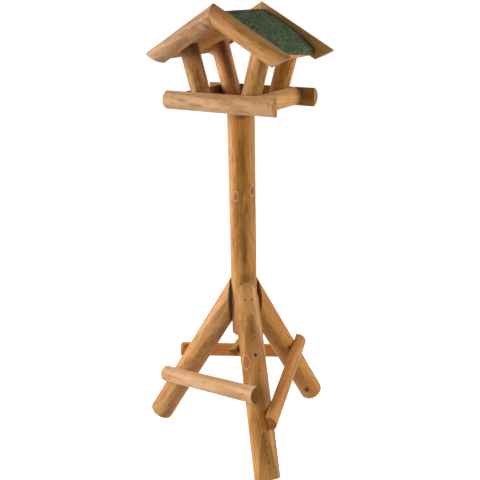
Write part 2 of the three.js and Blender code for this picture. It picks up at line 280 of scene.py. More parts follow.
def resample_closed(points: np.ndarray, count: int) -> np.ndarray:
    """Spaces points evenly round a closed line whose start isn't given again at its end."""
    return resample(np.vstack([points, points[:1]]), count + 1)[:-1]


def smoothed(padded: np.ndarray, window: int) -> np.ndarray:
    """Averages each point of a line with its neighbours.

    Args:
        padded: The line, with the window's number of points added at each end.
        window: How many neighbours on each side count.

    Returns:
        The smoothed line without the added points.
    """
    kernel = np.ones(2 * window + 1) / (2 * window + 1)
    return np.column_stack([np.convolve(padded[:, k], kernel, "valid") for k in range(2)])


def section(pole: Pole, spacing: float, arris: float) -> np.ndarray:
    """Draws the outline of a pole's section, with eased arrises.

    Args:
        pole: The pole.
        spacing: The distance between points.
        arris: How far back the sharp arrises are eased.

    Returns:
        Points (outwards, sideways) round the section, in metres.
    """
    fine, least_points = 1440, 24
    turns = np.linspace(0, FULL_TURN, fine, endpoint=False)
    points = np.column_stack([np.cos(turns), np.sin(turns)]) * pole.radius
    for out, across, distance in pole.flats:
        normal = np.array((out, across))
        kept = []
        for here, following in zip(points, np.roll(points, -1, axis=0)):
            depth, next_depth = normal @ here - distance, normal @ following - distance
            if depth <= 0:
                kept.append(here)
            if (depth < 0) != (next_depth < 0) and depth != next_depth:
                kept.append(here + (following - here) * depth / (depth - next_depth))
        points = np.array(kept)
    if pole.flats:
        points = resample_closed(points, fine)
        step = np.linalg.norm(points[1] - points[0])
        window = max(1, int(arris / step))
        points = smoothed(np.vstack([points[-window:], points, points[:window]]), window)
    length = steps_of(np.vstack([points, points[:1]])).sum()
    return resample_closed(points, max(least_points, round(length / spacing)))


@dataclass(frozen=True)
class Sight:
    """The camera that the picture was taken with, fitted to the poles' edges.

    Args:
        distance: How far the lens is from the post's axis, over the floor.
        azimuth: Where it stands round the post, from the front towards the right.
        height: The lens's height over the floor.
        yaw: How far it is turned away from the post.
        pitch: How far it looks down.
        roll: How far it leans.
        focal: The focal length in picture points.
        frame_size: The picture's width and height in points.
    """

    distance: float = 1.99692
    azimuth: float = 0.5609
    height: float = 1.36689
    yaw: float = 0.0048
    pitch: float = 0.3409
    roll: float = -0.0197
    focal: float = 699.04
    frame_size: float = 480.0

    def place(self) -> Vector:
        """Gives the lens's place.

        Returns:
            The place in the table's frame.
        """
        low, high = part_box("post")
        axis = (low + high) / 2
        return Vector((axis.x + self.distance * math.sin(self.azimuth),
                       axis.y - self.distance * math.cos(self.azimuth), self.height))

    def turn(self) -> Matrix:
        """Works out the camera's turn.

        Returns:
            The turn, with columns right, up and backwards.
        """
        heading = self.azimuth + self.yaw
        ahead = Vector((-math.sin(heading) * math.cos(self.pitch), math.cos(heading) * math.cos(self.pitch),
                        -math.sin(self.pitch)))
        right = Vector((math.cos(heading), math.sin(heading), 0))
        up = right.cross(ahead)
        leaned_right = right * math.cos(self.roll) + up * math.sin(self.roll)
        leaned_up = up * math.cos(self.roll) - right * math.sin(self.roll)
        return Matrix((leaned_right, leaned_up, -ahead)).transposed()

    def ray(self, point: tuple[float, float]) -> Vector:
        """Gives the direction of sight through a point of the picture.

        Args:
            point: The picture point.

        Returns:
            The unit direction away from the lens.
        """
        half = self.frame_size / 2
        across = Vector(((point[0] - half) / self.focal, (half - point[1]) / self.focal, -1))
        return (self.turn() @ across).normalized()

    def on_pole(self, pole: Pole, point: tuple[float, float]) -> tuple[float, float]:
        """Finds where the line of sight through a picture point meets the round side of a pole.

        Args:
            pole: The pole.
            point: The picture point.

        Returns:
            The distance along the axis and the angle from outwards, or the nearest edge if the line misses.
        """
        turn = pole.angle_frame().transposed()
        start = turn @ (self.place() - pole.centre)
        ray = turn @ self.ray(point)
        square = ray.x**2 + ray.y**2
        middle = -(start.x * ray.x + start.y * ray.y) / square
        rest = middle**2 - (start.x**2 + start.y**2 - pole.radius**2) / square
        reach = middle - math.sqrt(max(rest, 0))
        met = start + ray * reach
        return met.z, math.atan2(met.y, met.x)


SIGHT = Sight()


@dataclass(frozen=True)
class Seen:
    """A place on a pole that the picture shows.

    Args:
        x: The picture point's distance from the left.
        y: The picture point's distance from the top.
    """

    x: float
    y: float

    def on(self, pole: Pole) -> tuple[float, float]:
        """Gives the place's distance along the pole and its angle from outwards."""
        return SIGHT.on_pole(pole, (self.x, self.y))


@dataclass(frozen=True)
class Hidden:
    """A place on a side that the picture doesn't show.

    Args:
        along: The distance along the pole from its middle, in metres.
        around: The angle from outwards, in radians.
    """

    along: float
    around: float

    def on(self, pole: Pole) -> tuple[float, float]:
        """Gives the place's distance along the pole and its angle from outwards."""
        return self.along, self.around


@dataclass(frozen=True)
class Mark:
    """Something that belongs to one place on a pole.

    Args:
        at: Its place.
        length: Its reach along the grain, from its middle, in millimetres.
        width: Its reach across the grain, from its middle, in millimetres.
        strength: How strong it is, from 0 to 1.
        colour: Its colour, where that isn't one of the timber's own.
    """

    at: Seen | Hidden
    length: float
    width: float
    strength: float = 1.0
    colour: Colour | None = None


@dataclass(frozen=True)
class Knot(Mark):
    """A branch stub with its pale ring and the grain bent round it."""

    colour: Colour = tone(166, 92, 64)


class Arch(Mark):
    """A nest of arches that open downwards, placed by the outermost one's apex.

    Its width is how far that arch has spread to each side at its length below the apex.
    """


class StainAndShade(Mark):
    """A soft dark patch: a stain in the wood, and in some places painted shade."""


class PaleAndHighlight(Mark):
    """A soft pale patch: paler wood, and in some places a painted highlight."""


class Ripple(Mark):
    """A patch where the grain runs in small waves."""


class Crack(Mark):
    """A narrow open crack."""


DARK_HEART = tone(96, 54, 30)


def far_knots(seed: int, reach: float, count: int) -> tuple[Knot, ...]:
    """Scatters knots over the sides that the picture doesn't show.

    Args:
        seed: Sets where they fall.
        reach: How far from the pole's middle they lie at most, in metres.
        count: How many there are.

    Returns:
        The knots.
    """
    behind, spread, stray = SIGHT.azimuth + math.pi, 1.1, 0.3
    lengths, width_shares, strength = (5, 12), (0.6, 0.8), 0.9
    chance = random.Random(seed)
    knots = []
    for step in range(count):
        along = reach * ((2 * step + 1) / count - 1) + chance.uniform(-stray, stray) * reach / count
        length = chance.uniform(*lengths)
        place = Hidden(along, behind + chance.uniform(-spread, spread))
        width = length * chance.uniform(*width_shares)
        knots.append(Knot(place, length, width, strength, chance.choice((DARK_HEART, Knot.colour))))
    return tuple(knots)


@dataclass(frozen=True)
class Timber:
    """The colours and the figure of one pole.

    Args:
        light: The colour of pale wood.
        body: The colour of most of the wood.
        deep: The colour of late wood and stain.
        pith: How far the pith lies from the axis, in millimetres.
        pith_turn: Where it lies, as an angle from outwards in degrees.
        ring: The width of a year's ring, in millimetres.
        taper: How fast the rings come to the surface along the pole.
        band: How strong the broad bands of deeper stain are, from 0 to 1.
        mottle: How strong the mottling is, from 0 to 1.
        streak: How strong the long streaks are, from 0 to 1.
        slant: How far the fibres lean round the pole, as an angle in radians.
        sawn: The colour of the sawn ends.
    """

    light: Colour
    body: Colour
    deep: Colour
    pith: float = 7.0
    pith_turn: float = 30.0
    ring: float = 6.0
    taper: float = 0.03
    band: float = 0.35
    mottle: float = 0.35
    streak: float = 0.4
    slant: float = 0.0
    sawn: Colour = tone(150, 104, 56)


class Signal:
    """A shader value that takes part in sums and products.

    Args:
        shader: The shader that the value belongs to.
        socket: The output socket that gives it.
    """

    def __init__(self, shader: "Shader", socket: bpy.types.NodeSocket) -> None:
        """Keeps the shader and the socket."""
        self.shader = shader
        self.socket = socket

    def maths(self, operation: str, *values: "Signal | float") -> "Signal":
        """Adds a Math node with these values as its inputs."""
        return self.shader.value("ShaderNodeMath", {"operation": operation}, dict(enumerate(values)))

    def __add__(self, other: "Signal | float") -> "Signal":
        """Adds."""
        return self.maths("ADD", self, other)

    __radd__ = __add__

    def __sub__(self, other: "Signal | float") -> "Signal":
        """Takes away."""
        return self.maths("SUBTRACT", self, other)

    def __rsub__(self, other: float) -> "Signal":
        """Takes this value away from a number."""
        return self.maths("SUBTRACT", other, self)

    def __mul__(self, other: "Signal | float") -> "Signal":
        """Multiplies."""
        return self.maths("MULTIPLY", self, other)

    __rmul__ = __mul__

    def __truediv__(self, other: "Signal | float") -> "Signal":
        """Divides."""
        return self.maths("DIVIDE", self, other)

    def __neg__(self) -> "Signal":
        """Turns the sign round."""
        return self.maths("MULTIPLY", self, -1.0)

    def fraction(self) -> "Signal":
        """Keeps what is past the whole number below."""
        return self.maths("FRACT", self)

    def size(self) -> "Signal":
        """Drops the sign."""
        return self.maths("ABSOLUTE", self)

    def larger(self, other: "Signal | float") -> "Signal":
        """Keeps the larger of two values."""
        return self.maths("MAXIMUM", self, other)

    def ease(self, low: float, high: float) -> "Signal":
        """Rises smoothly from 0 at low to 1 at high, or falls where high is the smaller.

        Args:
            low: Where the result is 0.
            high: Where the result is 1.

        Returns:
            The eased value.
        """
        span = {"Value": self, "From Min": min(low, high), "From Max": max(low, high),
                "To Min": float(low > high), "To Max": float(low < high)}
        return self.shader.value("ShaderNodeMapRange", {"interpolation_type": "SMOOTHSTEP"}, span)


class Shader:
    """The nodes of one material.

    Args:
        name: The material's name.
        metallic: How metallic the surface is.
        shine: How strong its mirror light is, as the surface's own specular level.
        bloom: How pale it turns where it is seen edge on.
    """

    SHEEN_ROUGHNESS = 0.35
    SHEEN_TINT = (1.0, 0.92, 0.86, 1)

    def __init__(self, name: str, metallic: float = 0.0, shine: float = 0.5, bloom: float = 0.0) -> None:
        """Starts an empty material with one principled surface."""
        self.material = bpy.data.materials.new(name)
        self.material.use_nodes = True
        self.nodes = self.material.node_tree.nodes
        self.nodes.clear()
        self.surface = self.node("ShaderNodeBsdfPrincipled", {}, {
            "Metallic": metallic, "Specular IOR Level": shine, "Sheen Weight": bloom,
            "Sheen Roughness": self.SHEEN_ROUGHNESS, "Sheen Tint": self.SHEEN_TINT})
        self.node("ShaderNodeOutputMaterial", {}, {"Surface": self.surface.outputs[0]})

    def node(self, kind: str, settings: dict, inputs: dict) -> bpy.types.Node:
        """Adds one node, sets it up and feeds its inputs.

        Args:
            kind: The node's type.
            settings: Its settings by name.
            inputs: Values, signals or sockets by the input's name or number.

        Returns:
            The node.
        """
        made = self.nodes.new(kind)
        for name, value in settings.items():
            setattr(made, name, value)
        for name, value in inputs.items():
            self.feed(made.inputs[name], value)
        return made

    def feed(self, socket: bpy.types.NodeSocket, value: object) -> None:
        """Links or sets one input.

        Args:
            socket: The input.
            value: A signal, a socket or a plain value.
        """
        if isinstance(value, Signal):
            value = value.socket
        if isinstance(value, bpy.types.NodeSocket):
            self.material.node_tree.links.new(value, socket)
        else:
            socket.default_value = value

    def value(self, kind: str, settings: dict, inputs: dict, output: str | int = 0) -> Signal:
        """Adds one node and gives one of its outputs as a signal."""
        return Signal(self, self.node(kind, settings, inputs).outputs[output])

    def own_place(self, centre: Vector, turn: Matrix) -> Signal:
        """Gives the place on the piece in millimetres, in the piece's own frame.

        Args:
            centre: The middle of the piece's frame.
            turn: The turn from the piece's frame to the table's.

        Returns:
            The place as a vector.
        """
        place = self.node("ShaderNodeTexCoord", {}, {})
        return self.value("ShaderNodeMapping", {"vector_type": "TEXTURE"},
                          {"Vector": place.outputs["Object"], "Location": centre,
                           "Rotation": turn.to_euler("XYZ"), "Scale": (MM, MM, MM)})

    def scaled(self, vector: Signal, scale: tuple[float, float, float]) -> Signal:
        """Scales a vector by its three parts."""
        return self.value("ShaderNodeVectorMath", {"operation": "MULTIPLY"}, {0: vector, 1: scale})

    def shifted(self, vector: Signal, shift: "Signal | tuple[float, float, float]") -> Signal:
        """Moves a vector."""
        return self.value("ShaderNodeVectorMath", {"operation": "ADD"}, {0: vector, 1: shift})

    def length(self, vector: Signal) -> Signal:
        """Measures a vector."""
        return self.value("ShaderNodeVectorMath", {"operation": "LENGTH"}, {0: vector}, "Value")

    def parts(self, vector: Signal) -> list[Signal]:
        """Splits a vector into its three parts."""
        split = self.node("ShaderNodeSeparateXYZ", {}, {0: vector})
        return [Signal(self, split.outputs[k]) for k in range(3)]

    def even(self, share: Signal) -> Signal:
        """Makes a vector, or a grey, with one value for all three parts."""
        return self.value("ShaderNodeCombineXYZ", {}, {0: share, 1: share, 2: share})

    def adrift(self, place: Signal, seed: int) -> Signal:
        """Moves a place by chance, so that each piece has patterns of its own."""
        chance, far = random.Random(seed), 900
        return self.shifted(place, tuple(chance.uniform(-far, far) for _ in range(3)))

    def cells(self, place: Signal, scale: tuple[float, float, float]) -> tuple[Signal, Signal]:
        """Scatters cells over a place.

        Args:
            place: The place.
            scale: The number of cells to the unit, for each part of the place.

        Returns:
            Each cell's own chance value, and the distance from its middle.
        """
        made = self.node("ShaderNodeTexVoronoi", {}, {"Vector": self.scaled(place, scale), "Scale": 1.0})
        return self.parts(Signal(self, made.outputs["Color"]))[0], Signal(self, made.outputs["Distance"])

    def mixed(self, share: "Signal | float", first: "Signal | Colour", second: "Signal | Colour",
              blend: str = "MIX") -> Signal:
        """Mixes two colours.

        Args:
            share: How much of the second colour there is.
            first: The first colour.
            second: The second colour.
            blend: The way of mixing.

        Returns:
            The mixed colour.
        """
        mixer = self.node("ShaderNodeMix", {"data_type": "RGBA", "blend_type": blend, "clamp_factor": True},
                          {0: share, 6: first, 7: second})
        return Signal(self, mixer.outputs[2])

    def layered(self, colour: "Signal | Colour", *coats: "tuple[Signal | float, Signal | Colour]") -> Signal:
        """Lays coats over a colour.

        Args:
            colour: The colour below.
            coats: Each coat's share and its own colour, the lowest first.

        Returns:
            The colour with the coats on it.
        """
        for share, coat in coats:
            colour = self.mixed(share, colour, coat)
        return colour

    def grained(self, colour: "Signal | Colour", share: Signal) -> Signal:
        """Darkens a colour by a grey share."""
        return self.mixed(1.0, colour, self.even(share), "MULTIPLY")

    def finish(self, colour: Signal, roughness: "Signal | float", relief: Signal,
               depth: float) -> bpy.types.Material:
        """Feeds the surface and gives the material.

        Args:
            colour: The base colour.
            roughness: The roughness.
            relief: The height of the relief, from 0 to 1.
            depth: The full depth of the relief in metres.

        Returns:
            The finished material.
        """
        bump = self.node("ShaderNodeBump", {}, {"Height": relief, "Distance": depth, "Strength": 1.0})
        self.feed(self.surface.inputs["Base Color"], colour)
        self.feed(self.surface.inputs["Roughness"], roughness)
        self.feed(self.surface.inputs["Normal"], bump.outputs[0])
        return self.material


@dataclass(frozen=True)
class Pattern:
    """Soft noise from 0 to 1 that lies over a piece.

    Args:
        scale: Its lumps to the millimetre, for each part of the place.
        detail: How many finer layers it has.
        roughness: How strong the finer layers are.
        warp: How far it is bent.
        deep: Between which values it turns the piece's colour deeper.
        pale: Between which values it turns the piece's colour paler.
    """

    scale: tuple[float, float, float]
    detail: float = 2.0
    roughness: float = 0.5
    warp: float = 0.0
    deep: tuple[float, float] = (0.5, 0.7)
    pale: tuple[float, float] = (0.5, 0.3)

    def over(self, place: Signal, output: str | int = 0) -> Signal:
        """Spreads the pattern over a piece.

        Args:
            place: The place on the piece in millimetres.
            output: The noise's output that is wanted.

        Returns:
            The noise there.
        """
        shader = place.shader
        return shader.value("ShaderNodeTexNoise", {}, {
            "Vector": shader.scaled(place, self.scale), "Scale": 1.0, "Detail": self.detail,
            "Roughness": self.roughness, "Distortion": self.warp}, output)


@dataclass(frozen=True)
class Spot:
    """Where the places on a pole lie from one mark, in the mark's own sizes.

    Args:
        mark: The mark.
        around: The mark's angle from outwards.
        along: How far up the grain a place lies, 1 at the mark's reach.
        across: How far across the grain it lies, 1 at the mark's reach.
        distance: How far away it lies, 1 on the mark's edge and far on the side that faces away.
    """

    mark: Mark
    around: float
    along: Signal
    across: Signal
    distance: Signal


@dataclass(frozen=True)
class PoleFinish:
    """Stained, satin softwood with its rings, fibres, knots and sawn ends.

    Args:
        timber: The pole's colours and figure.
        marks: What belongs to one place on the pole.
        seed: Sets where the chance patterns fall.
    """

    timber: Timber
    marks: tuple[Mark, ...]
    seed: int

    KNOT_RING = tone(226, 176, 124)
    SPECK = tone(92, 56, 28)
    CRACK = tone(48, 26, 12)

    # Scales are given twice across the grain and once along it
    SWAY = Pattern((0.013, 0.013, 0.0035), 3.0)
    BLOTCH = Pattern((0.028, 0.028, 0.005), 2.0, pale=(0.65, 0.35))
    BAND = Pattern((0.07, 0.07, 0.0065), 4.0, 0.55, 0.3, deep=(0.48, 0.68))
    MOTTLE = Pattern((0.12, 0.12, 0.045), 3.0, 0.55, 0.5, deep=(0.5, 0.72), pale=(0.46, 0.28))
    STREAK = Pattern((0.34, 0.34, 0.012), 3.0, 0.6, 0.2, deep=(0.5, 0.75), pale=(0.45, 0.28))
    DASH = Pattern((0.42, 0.42, 0.075), 1.0, pale=(0.68, 0.76))
    FIBRE = Pattern((1.6, 1.6, 0.05), 2.0, 0.6)
    FLECK = Pattern((0.3, 0.3, 0.1), 4.0, 0.7, pale=(0.25, 0.75))
    SAW = Pattern((0.5, 0.08, 0.5), 3.0, 0.6)
    WAVES = Pattern((0.05, 0.05, 0.13), 1.0, 0.5, 0.8, deep=(0.5, 0.62), pale=(0.48, 0.36))
    SPECKLE = (0.05, 0.05, 0.03)

    SWAY_REACH = 13.0
    ARCH_RINGS = 2.4
    SHINE = 0.2
    EDGE_BLOOM = 0.4
    RELIEF = 0.32 * MM

    def spot(self, shader: Shader, place: Signal, pole: Pole, mark: Mark) -> Spot:
        """Measures how the places on the pole lie from a mark.

        Args:
            shader: The shader.
            place: The place on the pole.
            pole: The pole.
            mark: The mark.

        Returns:
            The measured mark, with all that faces away from it put far off.
        """
        far_off = 20
        along, around = mark.at.on(pole)
        local = shader.value("ShaderNodeMapping", {"vector_type": "TEXTURE"},
                             {"Vector": place, "Location": (0, 0, along / MM), "Rotation": (0, 0, around),
                              "Scale": (1, mark.width, mark.length)})
        facing, across, up = shader.parts(local)
        flat = shader.length(shader.scaled(local, (0, 1, 1)))
        return Spot(mark, around, up, across, flat + facing.ease(0.5, -0.5) * far_off)

    def flow(self, shader: Shader, place: Signal, spots: list[Spot]) -> Signal:
        """Bends the grain round the knots, as a stream bends round a post.

        Args:
            shader: The shader.
            place: The place on the pole.
            spots: The marks.

        Returns:
            The bent place.
        """
        for spot in spots:
            if isinstance(spot.mark, Knot):
                push = spot.across / (spot.distance * spot.distance).larger(1.0) * -spot.mark.width
                away = (-math.sin(spot.around), math.cos(spot.around), 0)
                place = shader.shifted(place, shader.scaled(shader.even(push), away))
        return place

    def arch_height(self, spot: Spot) -> Signal:
        """Gives how far a place lies inside an arch, 0 on it and 1 at its length below its apex."""
        return -spot.along - spot.across * spot.across - spot.distance.ease(9, 12) * 10

    def marked(self, shader: Shader, colour: Signal, spots: list[Spot], ragged: Signal) -> Signal:
        """Lays the marks' colours over the wood's.

        Args:
            shader: The shader.
            colour: The wood's colour.
            spots: The marks.
            ragged: Noise about 0 that frays the edges of soft patches.

        Returns:
            The colour with the marks on it.
        """
        timber = self.timber
        for spot in spots:
            mark, distance = spot.mark, spot.distance
            if isinstance(mark, Arch):
                height = self.arch_height(spot) + ragged * 0.25
                inside = height.ease(0.0, 0.22) * height.ease(2.6, 0.9)
                rim = height.ease(-0.3, -0.08) * height.ease(0.08, -0.04)
                colour = shader.layered(colour, (inside * 0.5 * mark.strength, timber.deep),
                                        (rim * 0.5 * mark.strength, timber.light))
            if isinstance(mark, (StainAndShade, PaleAndHighlight)):
                own = mark.colour or (timber.deep if isinstance(mark, StainAndShade) else timber.light)
                colour = shader.mixed((distance + ragged).ease(1.1, 0.1) * mark.strength, colour, own)
            if isinstance(mark, Knot):
                halo = distance.ease(1.5, 1.3) * distance.ease(1.05, 1.2)
                heart = shader.mixed(distance.ease(0.5, 1.0) * 0.25, mark.colour, timber.deep)
                colour = shader.layered(
                    colour, (distance.ease(1.9, 1.5) * 0.25 * mark.strength, timber.deep),
                    (halo * 0.7 * mark.strength, self.KNOT_RING),
                    (distance.ease(1.15, 0.85) * mark.strength, heart))
            if isinstance(mark, Crack):
                open_share = (distance + ragged * 0.6).ease(1.0, 0.5)
                colour = shader.mixed(open_share * mark.strength, colour, self.CRACK)
        return colour

    def dress(self, pole: Pole) -> bpy.types.Material:
        """Builds the pole's material.

        Args:
            pole: The pole.

        Returns:
            The material.
        """
        timber = self.timber
        shader = Shader(f"{pole.node}_timber", shine=self.SHINE, bloom=self.EDGE_BLOOM)
        place = shader.own_place(pole.centre, pole.angle_frame())
        spots = [self.spot(shader, place, pole, mark) for mark in self.marks]
        flow = self.flow(shader, place, spots)
        loose = shader.adrift(flow, self.seed)

        # The year's rings round the pith, bent by the sway and drawn up into the arches
        sway = shader.scaled(shader.shifted(self.SWAY.over(loose, "Color"), (-0.5, -0.5, -0.5)),
                             (self.SWAY_REACH, self.SWAY_REACH, 0))
        turn = math.radians(timber.pith_turn)
        pith = (-timber.pith * math.cos(turn), -timber.pith * math.sin(turn), 0)
        about = shader.scaled(shader.shifted(shader.shifted(flow, sway), pith), (1, 1, 0))
        depth = shader.length(about) + shader.parts(flow)[2] * timber.taper
        for spot in spots:
            if isinstance(spot.mark, Arch):
                height = self.arch_height(spot)
                depth = depth + height.larger(0.0) * height.ease(3.2, 1.8) * (timber.ring * self.ARCH_RINGS)
        year = (depth / timber.ring).fraction()
        late = year.ease(0.35, 0.88) * year.ease(1.0, 0.94)
        pale = year.ease(0.0, 0.05) * year.ease(0.35, 0.12)

        # The wood's own colours, from broad patches to short dashes
        slanted = shader.value("ShaderNodeMapping", {}, {"Vector": loose, "Rotation": (timber.slant, 0, 0)})
        blotch, band, mottle = (pattern.over(loose) for pattern in (self.BLOTCH, self.BAND, self.MOTTLE))
        streak, dash, fibre = (pattern.over(slanted) for pattern in (self.STREAK, self.DASH, self.FIBRE))
        colour = shader.layered(
            timber.body, (blotch.ease(*self.BLOTCH.pale), timber.light),
            (band.ease(*self.BAND.deep) * timber.band, timber.deep),
            (late * (blotch * 0.4 + 0.15), timber.deep), (pale * 0.22, timber.light),
            (mottle.ease(*self.MOTTLE.deep) * timber.mottle, timber.deep),
            (mottle.ease(*self.MOTTLE.pale) * timber.mottle * 0.7, timber.light),
            (streak.ease(*self.STREAK.deep) * timber.streak, timber.deep),
            (streak.ease(*self.STREAK.pale) * timber.streak * 0.7, timber.light),
            (dash.ease(*self.DASH.pale) * 0.45, timber.light))
        colour = self.marked(shader, colour, spots, (mottle - 0.5) * 1.2)

        relief = fibre * 0.35 + streak * 0.25 + late * 0.15 + mottle * 0.25
        for spot in spots:
            if isinstance(spot.mark, Ripple):
                waves = self.WAVES.over(loose)
                patch = (spot.distance + (blotch - 0.5) * 1.5).ease(1.0, 0.3) * spot.mark.strength
                colour = shader.layered(colour, (waves.ease(*self.WAVES.deep) * patch * 0.7, timber.deep),
                                        (waves.ease(*self.WAVES.pale) * patch * 0.6, timber.light))
                relief = relief + waves * patch * 2.0
            if isinstance(spot.mark, Crack):
                relief = relief - spot.distance.ease(1.0, 0.5) * 2.0

        # Specks, fine grain and the painted highlight on the rims
        size, reach = shader.cells(loose, self.SPECKLE)
        speck = (reach - (size - 0.6) * 0.13).ease(0.025, 0.0) * size.ease(0.5, 0.6)
        fleck = self.FLECK.over(loose).ease(*self.FLECK.pale)
        colour = shader.mixed(speck * 0.7, colour, self.SPECK)
        colour = shader.grained(colour, 0.79 + fibre * 0.16 + fleck * 0.24)
        edge_highlight = shader.value("ShaderNodeAttribute", {"attribute_name": EDGE_HIGHLIGHT}, {}, "Fac")
        # Painted highlight: the rims of the cut faces and the eased ends are painted paler.
        colour = shader.mixed(edge_highlight * 0.5, colour, timber.light)

        # The sawn ends
        sawn = shader.value("ShaderNodeAttribute", {"attribute_name": SAWN}, {}, "Fac")
        saw = self.SAW.over(loose)
        end = shader.grained(timber.sawn, 1.1 - late * 0.35 - mottle.ease(0.4, 0.7) * 0.15)
        colour = shader.mixed(sawn, colour, shader.grained(end, 0.75 + saw * 0.5))

        gloss = 0.4 + streak * 0.1 + sawn * 0.3 + mottle * 0.1
        return shader.finish(colour, gloss, relief - speck * 0.5 + sawn * saw * 0.9, self.RELIEF)


@dataclass(frozen=True)
class Turning:
    """How finely a pole is made, and how even its skin is.

    Args:
        ring_gap: The distance between rings along the pole.
        point_gap: The distance between points round it.
        ease: How far its ends are rounded.
        arris: How far its long arrises are eased.
        unevenness: How deep the hollows in its skin are.
        torn: How deep the fibres are torn out at its high end.
    """

    ring_gap: float = 4 * MM
    point_gap: float = 2.8 * MM
    ease: float = 2.5 * MM
    arris: float = 1.4 * MM
    unevenness: float = 1.1 * MM
    torn: float = 0.0


@dataclass(frozen=True)
class Calm:
    """A place where a pole's skin keeps its full thickness.

    Args:
        along: Its distance along the pole from the middle.
        around: Its angle from outwards.
        length: Its reach along the pole.
        width: Its reach across.
    """

    along: float
    around: float
    length: float
    width: float


